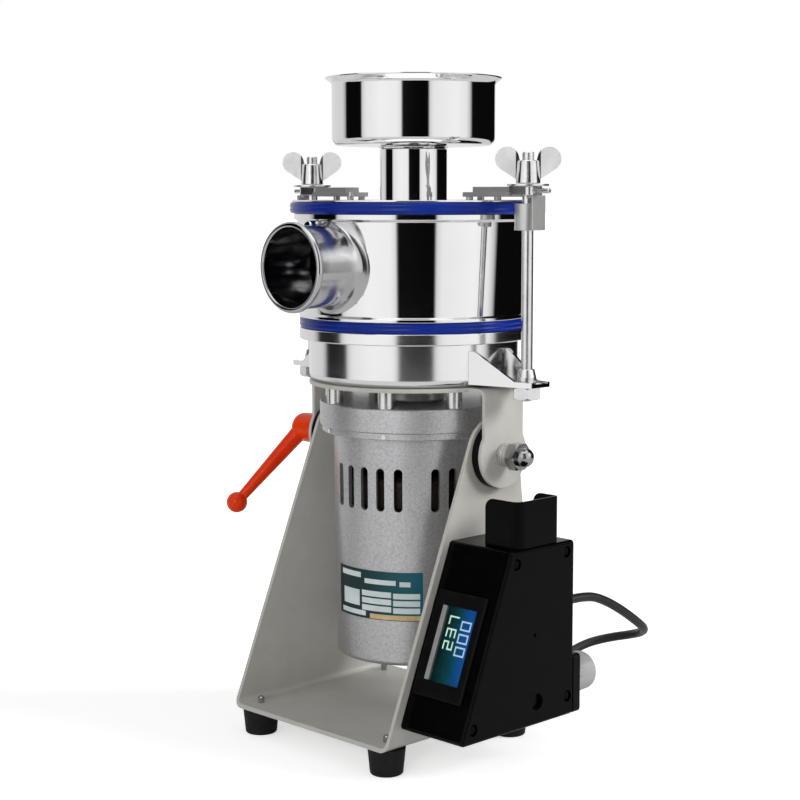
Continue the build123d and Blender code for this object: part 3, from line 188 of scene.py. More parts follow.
def hammertone():
    """Silver-grey paint that has drawn into shallow dimples."""
    material, tree, shader = new_material("hammertone_paint")
    where = object_coordinates(tree)
    cells = tree.nodes.new("ShaderNodeTexVoronoi")
    cells.feature = "SMOOTH_F1"
    cells.inputs["Scale"].default_value = 620.0
    cells.inputs["Smoothness"].default_value = 0.7
    tree.links.new(where, cells.inputs["Vector"])
    tone = colour_ramp(tree, cells.outputs["Distance"],
                       [(0.05, (0.60, 0.60, 0.61)), (0.75, (0.45, 0.45, 0.46))])
    tree.links.new(tone, shader.inputs["Base Color"])
    shader.inputs["Metallic"].default_value = 0.85
    drift = noise(tree, where, 45.0)
    tree.links.new(value_range(tree, drift, 0.30, 0.38), shader.inputs["Roughness"])
    bump(tree, shader, cells.outputs["Distance"], 0.22, GRAIN_DEPTH * MM)
    return material


def polished(name, roughness):
    """Mirror-bright steel with faint lines left by spinning round the mill's axis."""
    material, tree, shader = new_material(name)
    lines = noise(tree, object_coordinates(tree, (2.0, 2.0, 160.0)), 9.0, 2.0)
    drift = noise(tree, object_coordinates(tree), 14.0)
    tree.links.new(colour_ramp(tree, drift, [(0.3, (0.84,) * 3), (0.7, (0.88,) * 3)]),
                   shader.inputs["Base Color"])
    tree.links.new(value_range(tree, lines, roughness * 0.75, roughness * 1.25), shader.inputs["Roughness"])
    shader.inputs["Metallic"].default_value = 1.0
    return material


def wing_zinc():
    """Plated wing nut: a bright turned boss and paler cast wings."""
    material, tree, shader = new_material("wing_zinc")
    where = object_coordinates(tree)
    outward = calculate(tree, "ABSOLUTE", along(tree, where, "X"))
    aside = calculate(tree, "SUBTRACT", outward, CLAMP_X * MM)
    across = along(tree, where, "Y")
    square = calculate(tree, "ADD", calculate(tree, "MULTIPLY", aside, aside),
                       calculate(tree, "MULTIPLY", across, across))
    from_rod = calculate(tree, "SQRT", square)
    boss = value_range(tree, from_rod, 1.0, 0.0, BOSS_R * MM, WINGS_FROM_R * MM)
    tree.links.new(value_range(tree, boss, 0.20, 1.0), shader.inputs["Metallic"])
    drift = noise(tree, where, 140.0)
    rough = value_range(tree, drift, 0.34, 0.42)
    tree.links.new(calculate(tree, "SUBTRACT", rough, calculate(tree, "MULTIPLY", boss, 0.22)),
                   shader.inputs["Roughness"])
    tree.links.new(colour_ramp(tree, drift, [(0.3, (0.76, 0.76, 0.77)), (0.7, (0.86, 0.86, 0.87))]),
                   shader.inputs["Base Color"])
    return material


def outlet_steel():
    """Satin steel on the pipe that turns mirror-bright at its rolled mouth."""
    material, tree, shader = new_material("outlet_steel")
    where = object_coordinates(tree)
    reach = along(tree, where, "Y")
    brushed = noise(tree, object_coordinates(tree, (1.0, 60.0, 1.0)), 12.0, 2.0)
    satin = value_range(tree, brushed, 0.13, 0.20)
    mouth = value_range(tree, reach, 1.0, 0.0, -(OUTLET_REACH - MOUTH_LEN) * MM,
                        -(OUTLET_REACH - MOUTH_FADE) * MM)
    tree.links.new(calculate(tree, "SUBTRACT", satin, calculate(tree, "MULTIPLY", mouth, 0.08)),
                   shader.inputs["Roughness"])
    tone = noise(tree, where, 30.0)
    tree.links.new(colour_ramp(tree, tone, [(0.3, (0.50, 0.50, 0.51)), (0.7, (0.60, 0.60, 0.61))]),
                   shader.inputs["Base Color"])
    shader.inputs["Metallic"].default_value = 1.0
    return material


def clear_window():
    """Thin clear plastic over the display."""
    material, tree, shader = new_material("meter_glass")
    shader.inputs["Base Color"].default_value = (0.02, 0.03, 0.03, 1.0)
    shader.inputs["Alpha"].default_value = 0.06
    shader.inputs["Specular IOR Level"].default_value = 0.3
    drift = noise(tree, object_coordinates(tree), 40.0)
    tree.links.new(value_range(tree, drift, 0.03, 0.07), shader.inputs["Roughness"])
    return material


def display_glow():
    """Liquid-crystal panel: deep green on its left and blue on its right."""
    material, tree, shader = new_material("display_panel")
    where = object_coordinates(tree)
    across = value_range(tree, along(tree, where, "X"), 0.0, 1.0, WINDOW_X0 * MM, WINDOW_X1 * MM)
    patch = calculate(tree, "SUBTRACT", noise(tree, where, 55.0), 0.5)
    mixed = calculate(tree, "ADD", across, calculate(tree, "MULTIPLY", patch, 0.5))
    tone = colour_ramp(tree, mixed, [(0.0, (0.0005, 0.008, 0.007)), (0.45, (0.001, 0.035, 0.045)),
                                     (0.8, (0.002, 0.055, 0.22)), (1.0, (0.002, 0.035, 0.16))])
    tree.links.new(tone, shader.inputs["Base Color"])
    tree.links.new(tone, shader.inputs["Emission Color"])
    shader.inputs["Emission Strength"].default_value = 0.7
    shader.inputs["Specular IOR Level"].default_value = 0.1
    shader.inputs["Roughness"].default_value = 0.30
    return material


def plate_print_and_painted_shade():
    """Teal printed ground of the nameplate, with painted shade that darkens it to near-black green towards the
    left.
    """
    material, tree, shader = new_material("plate_aluminium")
    where = object_coordinates(tree)
    rightward = calculate(tree, "ADD", along(tree, where, "X"), along(tree, where, "Y"))
    across = value_range(tree, rightward, 0.0, 1.0, PLATE_LEFT * MM, PLATE_RIGHT * MM)
    # Painted shade: the teal print darkens to near-black green towards the plate's left end.
    tone = colour_ramp(tree, across, [(0.0, (0.002, 0.010, 0.011)), (0.35, (0.003, 0.030, 0.036)),
                                      (0.75, (0.004, 0.085, 0.110)), (1.0, (0.006, 0.110, 0.160))])
    tree.links.new(tone, shader.inputs["Base Color"])
    patch = noise(tree, where, 90.0)
    tree.links.new(value_range(tree, patch, 0.28, 0.38), shader.inputs["Roughness"])
    shader.inputs["Specular IOR Level"].default_value = 0.3
    return material


def lit_segments(name, colour):
    """Glowing figures of a reading."""
    material, tree, shader = new_material(name)
    drift = noise(tree, object_coordinates(tree), 300.0)
    tree.links.new(colour_ramp(tree, drift, [(0.3, tuple(0.8 * part for part in colour)), (0.7, colour)]),
                   shader.inputs["Emission Color"])
    shader.inputs["Base Color"].default_value = (0.1, 0.1, 0.1, 1.0)
    shader.inputs["Emission Strength"].default_value = 0.9
    return material


GREIGE = mottled("greige_paint", (0.50, 0.485, 0.45), (0.535, 0.52, 0.485), 0.40, grain=0.10,
                 grain_scale=1600.0, shine=0.3)
HAMMERTONE = hammertone()
POLISHED = polished("polished_steel", 0.05)
BOWL_STEEL = polished("bowl_steel", 0.15)
BRIGHT_ZINC = mottled("zinc_steel", (0.70, 0.70, 0.70), (0.80, 0.80, 0.80), 0.22, 1.0, 90.0, 0.05)
CLAMP_ZINC = mottled("clamp_zinc", (0.56, 0.56, 0.55), (0.62, 0.62, 0.61), 0.26, 0.7, 60.0, 0.02)
WING_ZINC = wing_zinc()
DARK_ZINC = mottled("dark_zinc", (0.30, 0.30, 0.30), (0.44, 0.44, 0.44), 0.15, 1.0, 90.0, 0.04)
GROUND = mottled("ground_steel", (0.42, 0.42, 0.42), (0.55, 0.55, 0.55), 0.35, 1.0, 220.0, 0.08)
# Steel core darkened to the near-black painted shade of the motor's inside.
CORE_IN_PAINTED_SHADE = mottled("core_steel", (0.018, 0.017, 0.016), (0.040, 0.036, 0.034), 0.50, 0.3, 120.0, shine=0.2)
SILICONE = mottled("blue_silicone", (0.002, 0.017, 0.22), (0.004, 0.027, 0.28), 0.24, scale=40.0, shine=0.18)
LEVER_RED = mottled("red_lever", (0.74, 0.030, 0.001), (0.84, 0.052, 0.002), 0.22, scale=50.0, coat=0.08,
                    shine=0.15)
BOX_BLACK = mottled("box_black", (0.0008, 0.0008, 0.001), (0.0014, 0.0014, 0.0016), 0.22, scale=80.0,
                    shine=0.07)
TRIM_BLACK = mottled("trim_black", (0.003, 0.003, 0.0035), (0.005, 0.005, 0.0055), 0.32, scale=90.0,
                     grain=0.06, shine=0.08)
ROCKER_BLACK = mottled("rocker_black", (0.006, 0.006, 0.006), (0.009, 0.009, 0.009), 0.20, scale=60.0,
                       coat=0.3, shine=0.2)
KNOB_GREY = mottled("knob_grey", (0.34, 0.34, 0.34), (0.40, 0.40, 0.40), 0.42, scale=70.0, grain=0.08)
FOOT_RUBBER = mottled("foot_rubber", (0.005, 0.005, 0.005), (0.010, 0.010, 0.010), 0.50, scale=150.0,
                      grain=0.25, shine=0.2)
CORD_RUBBER = mottled("cord_rubber", (0.008, 0.008, 0.008), (0.015, 0.015, 0.015), 0.40, scale=160.0,
                      grain=0.15, shine=0.35)
BOARD_GREEN = mottled("board_green", (0.020, 0.14, 0.07), (0.03, 0.20, 0.10), 0.45, scale=200.0)
PLATE_WHITE = mottled("plate_white", (0.58, 0.66, 0.66), (0.70, 0.78, 0.78), 0.40, scale=90.0)
PLATE_GOLD = mottled("plate_gold", (0.52, 0.36, 0.15), (0.72, 0.55, 0.30), 0.38, 0.2, 90.0)
BRASS = mottled("brass", (0.62, 0.44, 0.16), (0.74, 0.55, 0.22), 0.28, 1.0, 120.0)
# Grey painted light on the sloping side of the meter's black well.
LIP_PAINTED_LIGHT = mottled("lip_painted_light", (0.12, 0.12, 0.12), (0.19, 0.19, 0.19), 0.35, scale=90.0)
# Copper windings darkened to the near-black painted shade of the motor's inside.
WINDINGS_IN_PAINTED_SHADE = mottled("winding_copper_in_painted_shade", (0.010, 0.007, 0.005), (0.030, 0.018, 0.012), 0.45, 0.2, 400.0, grain=0.4,
                 grain_scale=700.0, shine=0.2)
PLATE_TEAL = plate_print_and_painted_shade()
WINDOW = clear_window()
OUTLET_STEEL = outlet_steel()
DISPLAY = display_glow()
VOLT_SEGMENTS = lit_segments("volt_segments", (0.62, 1.0, 0.80))
AMP_SEGMENTS = lit_segments("amp_segments", (0.45, 0.72, 1.0))

FINISHES = {
    "greige_paint": GREIGE, "hammertone_paint": HAMMERTONE, "polished_steel": POLISHED,
    "zinc_steel": BRIGHT_ZINC, "ground_steel": GROUND, "core_steel": CORE_IN_PAINTED_SHADE, "blue_silicone": SILICONE,
    "red_lever": LEVER_RED, "box_black": BOX_BLACK, "trim_black": TRIM_BLACK, "rocker_black": ROCKER_BLACK,
    "knob_grey": KNOB_GREY, "meter_glass": WINDOW, "board_green": BOARD_GREEN, "plate_aluminium": PLATE_TEAL,
    "foot_rubber": FOOT_RUBBER, "cord_rubber": CORD_RUBBER, "brass": BRASS,
}


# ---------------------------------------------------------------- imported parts

WELD_GAP = 0.01
MERGE_GAP = 0.005
CRISP_ANGLE = math.radians(30.0)
FLAT_ANGLE = math.radians(0.5)
SHARP_ANGLE = math.radians(40.0)


def smooth_faces(item):
    """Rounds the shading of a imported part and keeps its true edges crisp."""
    for face in item.data.polygons:
        face.use_smooth = True
    weld = item.modifiers.new("weld", "WELD")
    weld.merge_threshold = WELD_GAP * MM
    split = item.modifiers.new("crisp_edges", "EDGE_SPLIT")
    split.split_angle = CRISP_ANGLE


OWN_FINISH = {"wing_nut_left": WING_ZINC, "wing_nut_right": WING_ZINC, "clamp_arms": CLAMP_ZINC,
              "guide_sleeves": CLAMP_ZINC, "pivot_washers": CLAMP_ZINC, "pivot_nut_right": DARK_ZINC,
              "foot_screws": DARK_ZINC}


def finish_of(node):
    return OWN_FINISH.get(node, FINISHES[SLOT_OF[node]])


for name, part in nodes.items():
    part.data.materials.clear()
    part.data.materials.append(finish_of(name))
    smooth_faces(part)


def new_piece(name, mesh, material, body, stands_for=()):
    """Finished piece of the scene on its body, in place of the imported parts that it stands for."""
    data = bpy.data.meshes.new(name)
    mesh.to_mesh(data)
    mesh.free()
    for face in data.polygons:
        face.use_smooth = True
    data.materials.append(material)
    item = bpy.data.objects.new(name, data)
    bpy.context.scene.collection.objects.link(item)
    weighted = item.modifiers.new("face_weighted", "WEIGHTED_NORMAL")
    weighted.keep_sharp = True
    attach(item, body)
    if stands_for:
        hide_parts(*stands_for)
    return item


# Millimetres by which the hard edges of these parts are rounded over.
EASED_EDGES = {
    "cradle_frame": 0.6, "head_bracket": 0.6, "pivot_spacers": 0.8, "pivot_washers": 0.6,
    "pivot_nut_right": 0.4, "control_box_body": 1.0, "control_box_cover": 0.8, "switch_guard": 0.7,
    "switch_frame": 0.4, "meter_bezel": 0.5, "knob_plate": 0.6, "motor_collar": 0.6, "motor_housing": 0.5,
    "standoff_posts": 0.3, "clamp_brackets": 0.5, "clamp_arms": 0.4, "arm_end_blocks": 0.5,
    "clamp_washers": 0.35, "guide_sleeves": 0.5, "rod_nuts": 0.5, "rod_bushings": 0.5, "wing_nut_left": 0.7,
    "wing_nut_right": 0.7, "rubber_feet": 0.8,
}


def eased_part(node, width):
    """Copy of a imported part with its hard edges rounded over."""
    mesh = bmesh.new()
    mesh.from_mesh(nodes[node].data)
    bmesh.ops.remove_doubles(mesh, verts=mesh.verts, dist=MERGE_GAP * MM)
    bmesh.ops.dissolve_limit(mesh, angle_limit=FLAT_ANGLE, verts=mesh.verts, edges=mesh.edges)
    sharp = [edge for edge in mesh.edges if edge.is_manifold and edge.calc_face_angle() > SHARP_ANGLE]
    bmesh.ops.bevel(mesh, geom=sharp, offset=width * MM, segments=3, profile=0.5, affect="EDGES",
                    clamp_overlap=True, material=-1)
    new_piece(f"{node}_eased", mesh, finish_of(node), BODY_OF[node], [node])


for node, width in EASED_EDGES.items():
    eased_part(node, width)


# ---------------------------------------------------------------- power cord

CORD_DIAMETER = 7.0
CORD_START = (117.0, 47.0, 111.0)
CORD_ROUTE = (
    (117.0, 70.0, 111.0),
    (118.0, 90.0, 104.0),
    (119.0, 110.0, 93.0),
    (118.0, 131.0, 80.0),
    (113.9, 146.2, 71.0),
    (102.7, 157.4, 64.0),
    (87.5, 161.5, 58.5),
    (72.2, 157.4, 54.5),
    (61.1, 146.2, 51.0),
    (57.0, 131.0, 47.5),
    (55.0, 113.0, 41.5),
    (50.0, 96.0, 31.0),
    (40.0, 81.0, 17.0),
    (24.0, 71.0, 7.0),
    (6.0, 66.5, 4.2),
)
COIL_CENTRE = (-20.0, 110.0)
COIL_MIDDLES = (46.6, 29.1)
TURNS_PER_LAYER = 2.5
POINTS_PER_TURN = 16
CLIMB_POINTS = 8
COIL_START = -80.0
LAYER_LOW = 4.0
LAYER_HIGH = 11.2


def coil_points():
    """Two layers of turns: the lower winds inwards and the upper winds back outwards."""
    points = []
    steps = int(TURNS_PER_LAYER * POINTS_PER_TURN)
    outer, inner = COIL_MIDDLES
    for number in range(2 * steps):
        radius = inner + (outer - inner) * abs(1.0 - number / steps)
        climbed = min(max((number - steps) / CLIMB_POINTS + 0.5, 0.0), 1.0)
        height = LAYER_LOW + (LAYER_HIGH - LAYER_LOW) * climbed
        angle = math.radians(COIL_START - 360.0 * number / POINTS_PER_TURN)
        points.append((COIL_CENTRE[0] + radius * math.cos(angle),
                       COIL_CENTRE[1] + radius * math.sin(angle), height))
    return points


PLUG_TAIL = (-55.5, 82.0, 31.0)
COIL_TO_PLUG = ((-11.6, 58.3, 12.0), (-21.9, 54.0, 14.0), (-33.1, 54.0, 18.0), (-43.4, 58.3, 22.5),
                (-51.2, 66.1, 27.0), (-55.2, 75.0, 30.3))


def nurbs_curve(name, points, bevel):
    """Round cord along one open spline."""
    curve = bpy.data.curves.new(name, "CURVE")
    curve.dimensions = "3D"
    spline = curve.splines.new("NURBS")
    spline.points.add(len(points) - 1)
    for target, point in zip(spline.points, points):
        target.co = (*from_axis(*point), 1.0)
    spline.order_u = 3
    spline.use_endpoint_u = True
    spline.resolution_u = 8
    curve.bevel_depth = bevel
    curve.bevel_resolution = 5
    curve.use_fill_caps = True
    item = bpy.data.objects.new(name, curve)
    bpy.context.scene.collection.objects.link(item)
    return item


cord_line = [CORD_START, *CORD_ROUTE, *coil_points(), *COIL_TO_PLUG, PLUG_TAIL]
cord = nurbs_curve("mains_cord", cord_line, CORD_DIAMETER / 2 * MM)
cord.data.materials.append(CORD_RUBBER)
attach(cord, "cradle")
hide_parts("power_cord", "power_cord_coil")


# ---------------------------------------------------------------- turned steel and gaskets

SPIN_STEPS = 192
SEAM_GAP = 0.001
TALL_WALL = 50.0          # edges longer than this are cut into short ones
BOWL_R = 80.0
BOWL_FOOT = 273.6
BOWL_INNER_R = 78.0
BOWL_FLOOR = 275.6
BOWL_BORE_R = 9.5
BOWL_HUB_R = 12.5
BOWL_HUB_TOP = 279.6
FLANGE_R = 87.3
FLANGE_Z = 305.5
LOWER_GASKET_Z = 314.0
LOWER_GASKET_R = 87.2
CHAMBER_Z = 322.0
CHAMBER_FOOT_R = 85.3
CHAMBER_TOP_R = 88.7
CHAMBER_WALL = 1.8
UPPER_GASKET_Z = 400.0
UPPER_GASKET_R = 94.0
UPPER_GASKET_BORE_R = 83.9
GASKET_H = 8.2
LID_Z = 408.5
LID_TOP = 409.9
LID_R = 92.4
TUBE_R = 25.5
TUBE_WALL = 1.3
TUBE_FOOT = LID_Z - 6.0
TUBE_TOP = 447.9
LID_BORE_R = TUBE_R + 0.05


def turned_mesh(outline, cuts=0):
    """Closed shell turned about the mill's axis from (radius, height, rounding) corners."""
    mesh = bmesh.new()
    corners = [mesh.verts.new(from_axis(radius, 0.0, height)) for radius, height, _ in outline]
    for first, second in zip(corners, corners[1:] + corners[:1]):
        mesh.edges.new((first, second))
    for corner, (_, _, rounding) in zip(corners, outline):
        if rounding:
            bmesh.ops.bevel(mesh, geom=[corner], offset=rounding * MM, segments=6, profile=0.5,
                            affect="VERTICES", material=-1)
    if cuts:
        tall = [edge for edge in mesh.edges if edge.calc_length() > TALL_WALL * MM]
        bmesh.ops.subdivide_edges(mesh, edges=tall, cuts=cuts)
    bmesh.ops.spin(mesh, geom=mesh.verts[:] + mesh.edges[:], cent=MILL_AXIS, axis=(0, 0, 1),
                   angle=2 * math.pi, steps=SPIN_STEPS, use_merge=True)
    bmesh.ops.remove_doubles(mesh, verts=mesh.verts, dist=SEAM_GAP * MM)
    bmesh.ops.recalc_face_normals(mesh, faces=mesh.faces)
    return mesh


def turned_piece(name, outline, material, node):
    return new_piece(name, turned_mesh(outline), material, BODY_OF[node], [node])


BOWL_OUTLINE = (
    (BOWL_BORE_R, BOWL_FOOT, 0), (BOWL_R, BOWL_FOOT, 6.0), (BOWL_R, FLANGE_Z, 0.6), (FLANGE_R, FLANGE_Z, 0.8),
    (FLANGE_R, LOWER_GASKET_Z, 0.8), (BOWL_INNER_R, LOWER_GASKET_Z, 0.3), (BOWL_INNER_R, BOWL_FLOOR, 4.0),
    (BOWL_HUB_R, BOWL_FLOOR, 1.0), (BOWL_HUB_R, BOWL_HUB_TOP, 0.5), (BOWL_BORE_R, BOWL_HUB_TOP, 0),
)
turned_piece("bowl_shell", BOWL_OUTLINE, BOWL_STEEL, "grinding_bowl")


def gasket_outline(outer, inner, foot, top):
    """Band with a shallow groove half-way up its outside."""
    return ((inner, foot, 0), (outer - 1.2, foot, 0.6), (outer, foot + 2.3, 1.0),
            (outer - 0.6, foot + 4.1, 0.5), (outer, foot + 5.9, 1.0), (outer - 1.2, top, 0.6), (inner, top, 0))


turned_piece("lower_gasket_band", gasket_outline(LOWER_GASKET_R, BOWL_INNER_R, LOWER_GASKET_Z, CHAMBER_Z),
             SILICONE, "lower_gasket")
turned_piece("upper_gasket_band",
             gasket_outline(UPPER_GASKET_R, UPPER_GASKET_BORE_R, UPPER_GASKET_Z, UPPER_GASKET_Z + GASKET_H),
             SILICONE, "upper_gasket")
turned_piece("lid_disc", ((LID_BORE_R, LID_Z, 0), (LID_R, LID_Z, 0.4), (LID_R, LID_TOP, 0.6),
                          (LID_BORE_R, LID_TOP, 0)), POLISHED, "lid_plate")
TUBE_OUTLINE = (
    (TUBE_R, TUBE_FOOT, 0.3), (TUBE_R, TUBE_TOP, 0.4), (TUBE_R - TUBE_WALL, TUBE_TOP, 0.4),
    (TUBE_R - TUBE_WALL, TUBE_FOOT, 0.3),
)
turned_piece("feed_pipe", TUBE_OUTLINE, POLISHED, "feed_tube")

SPOUT_R = 23.9
SPOUT_FOOT = 423.9
HOPPER_R = 61.8
HOPPER_INNER_R = 60.6
HOPPER_FOOT = 450.8
HOPPER_RIM_R = 66.8
HOPPER_TOP = 501.5
HOPPER_OUTLINE = (
    (SPOUT_R, SPOUT_FOOT, 0.3), (SPOUT_R, 448.2, 0.3), (TUBE_R, 448.2, 0.3), (26.9, 449.6, 0.5),
    (HOPPER_R, HOPPER_FOOT, 5.5), (HOPPER_R, 497.0, 2.0), (HOPPER_RIM_R, 500.3, 0.5),
    (HOPPER_RIM_R, HOPPER_TOP, 0.5), (HOPPER_INNER_R, 497.6, 2.0), (HOPPER_INNER_R, 452.0, 4.6),
    (22.7, HOPPER_FOOT, 2.0), (22.7, SPOUT_FOOT, 0.3),
)
turned_piece("hopper_cup", HOPPER_OUTLINE, POLISHED, "hopper")


# ---------------------------------------------------------------- upper chamber with its outlet

OUTLET_Z = 362.0
OUTLET_R = 30.0
HOLE_R = 31.8
# Loops of the outlet from its foot to the mouth and back inside: radius, distance out, and whether that is
# from the wall.
OUTLET_LOOPS = (
    (35.4, -0.6, True), (35.4, 0.10, True), (34.2, 0.35, True), (33.0, 0.85, True), (31.9, 1.65, True),
    (31.0, 2.8, True), (30.4, 4.3, True), (30.1, 6.0, True), (30.0, 8.0, True), (30.0, 112.0, False),
    (30.0, 120.4, False), (30.3, 120.9, False), (31.3, 121.2, False), (32.2, 121.7, False),
    (32.7, 122.8, False), (32.7, 123.9, False), (32.3, 125.0, False), (31.4, 125.7, False),
    (30.3, OUTLET_REACH, False), (29.4, 125.8, False), (28.8, 125.2, False), (28.5, 124.2, False),
    (28.5, 112.0, False), (28.5, -1.9, True),
)
CHAMBER_RIM_R = 90.9
WALL_CUTS = 30            # short faces up the wall, so that the outlet's hole follows its circle
CHAMBER_OUTLINE = (
    (CHAMBER_FOOT_R - CHAMBER_WALL, CHAMBER_Z, 0.2), (FLANGE_R, CHAMBER_Z, 0.6),
    (FLANGE_R, CHAMBER_Z + 2.6, 0.6), (CHAMBER_FOOT_R, CHAMBER_Z + 3.6, 0.5),
    (CHAMBER_TOP_R, UPPER_GASKET_Z - 5.4, 0.6), (CHAMBER_RIM_R, UPPER_GASKET_Z - 4.6, 0.7),
    (CHAMBER_RIM_R, UPPER_GASKET_Z, 0.7), (CHAMBER_TOP_R - CHAMBER_WALL, UPPER_GASKET_Z, 0.2),
)
STUD_R = 5.2
STUD_LEN = 14.0
STUD_TIP = CHAMBER_TOP_R + 10.0
STUD_EDGE = 1.3
STUD_Z = 390.0
STUD_TURN = -6.8


def wall_radius(height):
    """Outside radius of the chamber's slightly conical wall."""
    share = (height - CHAMBER_Z) / (UPPER_GASKET_Z - CHAMBER_Z)
    return CHAMBER_FOOT_R + (CHAMBER_TOP_R - CHAMBER_FOOT_R) * share


def near_outlet(face):
    """Whether a face of the chamber's wall lies inside the outlet's hole."""
    place = (face.calc_center_median() - MILL_AXIS) / MM
    return place.y < 0 and math.hypot(place.x, place.z - OUTLET_Z) < HOLE_R


def place_loop(verts, radius, out, from_wall):
    """Sets a loop of the outlet to its radius and its distance from the wall or from the mill's axis."""
    centre = from_axis(0.0, 0.0, OUTLET_Z)
    for vert in verts:
        turn = math.atan2(vert.co.z - centre.z, vert.co.x - centre.x)
        x, z = radius * math.cos(turn), OUTLET_Z + radius * math.sin(turn)
        front = math.sqrt(wall_radius(z) ** 2 - x ** 2) + out if from_wall else out
        vert.co = from_axis(x, -front, z)


def outlet_pipe():
    """Side outlet grown loop by loop from the wall to its rolled mouth and back through its bore."""
    mesh = bmesh.new()
    upright = Matrix.Translation(from_axis(0.0, 0.0, OUTLET_Z)) @ Matrix.Rotation(math.pi / 2, 4, "X")
    bmesh.ops.create_circle(mesh, cap_ends=False, segments=128, radius=OUTLET_R * MM, matrix=upright)
    loop = mesh.edges[:]
    first_loop = loop
    place_loop(mesh.verts, *OUTLET_LOOPS[0])
    for step in OUTLET_LOOPS[1:]:
        grown = bmesh.ops.extrude_edge_only(mesh, edges=loop)["geom"]
        loop = [item for item in grown if isinstance(item, bmesh.types.BMEdge)]
        place_loop([item for item in grown if isinstance(item, bmesh.types.BMVert)], *step)
    bmesh.ops.bridge_loops(mesh, edges=first_loop + loop)
    bmesh.ops.recalc_face_normals(mesh, faces=mesh.faces)
    return mesh


def chamber_mesh():
    """The chamber's wall with the outlet's hole, closed through its thickness."""
    mesh = turned_mesh(CHAMBER_OUTLINE, cuts=WALL_CUTS)
    gone = [face for face in mesh.faces if near_outlet(face)]
    bmesh.ops.delete(mesh, geom=gone, context="FACES")
    rims = [edge for edge in mesh.edges if edge.is_boundary]
    bmesh.ops.bridge_loops(mesh, edges=rims)
    return mesh


def chamber_stud():
    """Short round stud on the wall above the outlet."""
    mesh = bmesh.new()
    bearing = Matrix.Translation(MILL_AXIS) @ Matrix.Rotation(math.radians(STUD_TURN), 4, "Z")
    out = Matrix.Translation(Vector((0.0, -STUD_TIP + STUD_LEN / 2, STUD_Z)) * MM)
    place = bearing @ out @ Matrix.Rotation(math.pi / 2, 4, "X")
    bmesh.ops.create_cone(mesh, cap_ends=True, segments=48, radius1=STUD_R * MM, radius2=STUD_R * MM,
                          depth=STUD_LEN * MM, matrix=place)
    rims = [edge for edge in mesh.edges if edge.calc_face_angle() > SHARP_ANGLE]
    bmesh.ops.bevel(mesh, geom=rims, offset=STUD_EDGE * MM, segments=4, profile=0.5, affect="EDGES",
                    material=-1)
    return mesh


chamber_shell = new_piece("chamber_shell", chamber_mesh(), POLISHED, "head")
new_piece("outlet_pipe", outlet_pipe(), OUTLET_STEEL, "head")
new_piece("chamber_stud", chamber_stud(), POLISHED, "head")
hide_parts("upper_chamber")


# ---------------------------------------------------------------- meter

SLOPE_FOOT_Y = -98.7
SLOPE_FOOT_Z = 35.0
SLOPE_LEAN = math.radians(90.0 - 21.69)
WINDOW_LOW = 39.5
WINDOW_LEN = 55.0
WELL_X0 = 96.0
PANEL_EDGE = 0.3
LIP_EDGE = 0.4
LIP_RISE = 1.8
SLOPE = Matrix.Translation(from_axis(0.0, SLOPE_FOOT_Y, SLOPE_FOOT_Z)) @ Matrix.Rotation(SLOPE_LEAN, 4, "X")
SEGMENTS_ON = {"0": "abcdef", "2": "abged", "3": "abgcd", "7": "abc"}
SEGMENT_T = 1.15
# Each reading: figures, left edge of the figures, their height, first start up the slope, width and pitch.
READINGS = (
    ("volts", "237", 103.6, 9.2, 24.0, 6.4, 9.0, VOLT_SEGMENTS),
    ("amps", "000", 115.6, 9.6, 21.0, 6.9, 9.2, AMP_SEGMENTS),
)


def slab_on_slope(mesh, x0, x1, up0, up1, lift0, lift1):
    """Thin block on the box's sloping face, in millimetres across it, up it and out of it."""
    middle = Vector(((x0 + x1) / 2, (up0 + up1) / 2, (lift0 + lift1) / 2)) * MM
    size = Matrix.Diagonal(Vector((x1 - x0, up1 - up0, lift1 - lift0)) * MM).to_4x4()
    bmesh.ops.create_cube(mesh, size=1.0, matrix=SLOPE @ Matrix.Translation(middle) @ size)


def figure(mesh, digit, left, height, foot, width):
    """Seven-segment figure that reads up the slope: its top points to the left."""
    half, thick = height / 2, SEGMENT_T
    places = {
        "a": (left, left + thick, foot, foot + width),
        "g": (left + half - thick / 2, left + half + thick / 2, foot, foot + width),
        "d": (left + height - thick, left + height, foot, foot + width),
        "f": (left, left + half, foot, foot + thick),
        "b": (left, left + half, foot + width - thick, foot + width),
        "e": (left + half, left + height, foot, foot + thick),
        "c": (left + half, left + height, foot + width - thick, foot + width),
    }
    for segment in SEGMENTS_ON[digit]:
        slab_on_slope(mesh, *places[segment], -0.10, -0.02)


def meter_readings():
    """Figures of both readings, just under the window."""
    for name, digits, left, height, foot, width, pitch, material in READINGS:
        mesh = bmesh.new()
        for number, digit in enumerate(digits):
            figure(mesh, digit, left, height, foot + WINDOW_LOW + number * pitch, width)
        new_piece(f"display_{name}", mesh, material, "cradle")


def meter_panel():
    """Display behind the figures."""
    mesh = bmesh.new()
    slab_on_slope(mesh, WINDOW_X0 + PANEL_EDGE, WINDOW_X1 - PANEL_EDGE, WINDOW_LOW + PANEL_EDGE,
                  WINDOW_LOW + WINDOW_LEN - PANEL_EDGE, -1.6, -0.12)
    new_piece("display_panel", mesh, DISPLAY, "cradle")


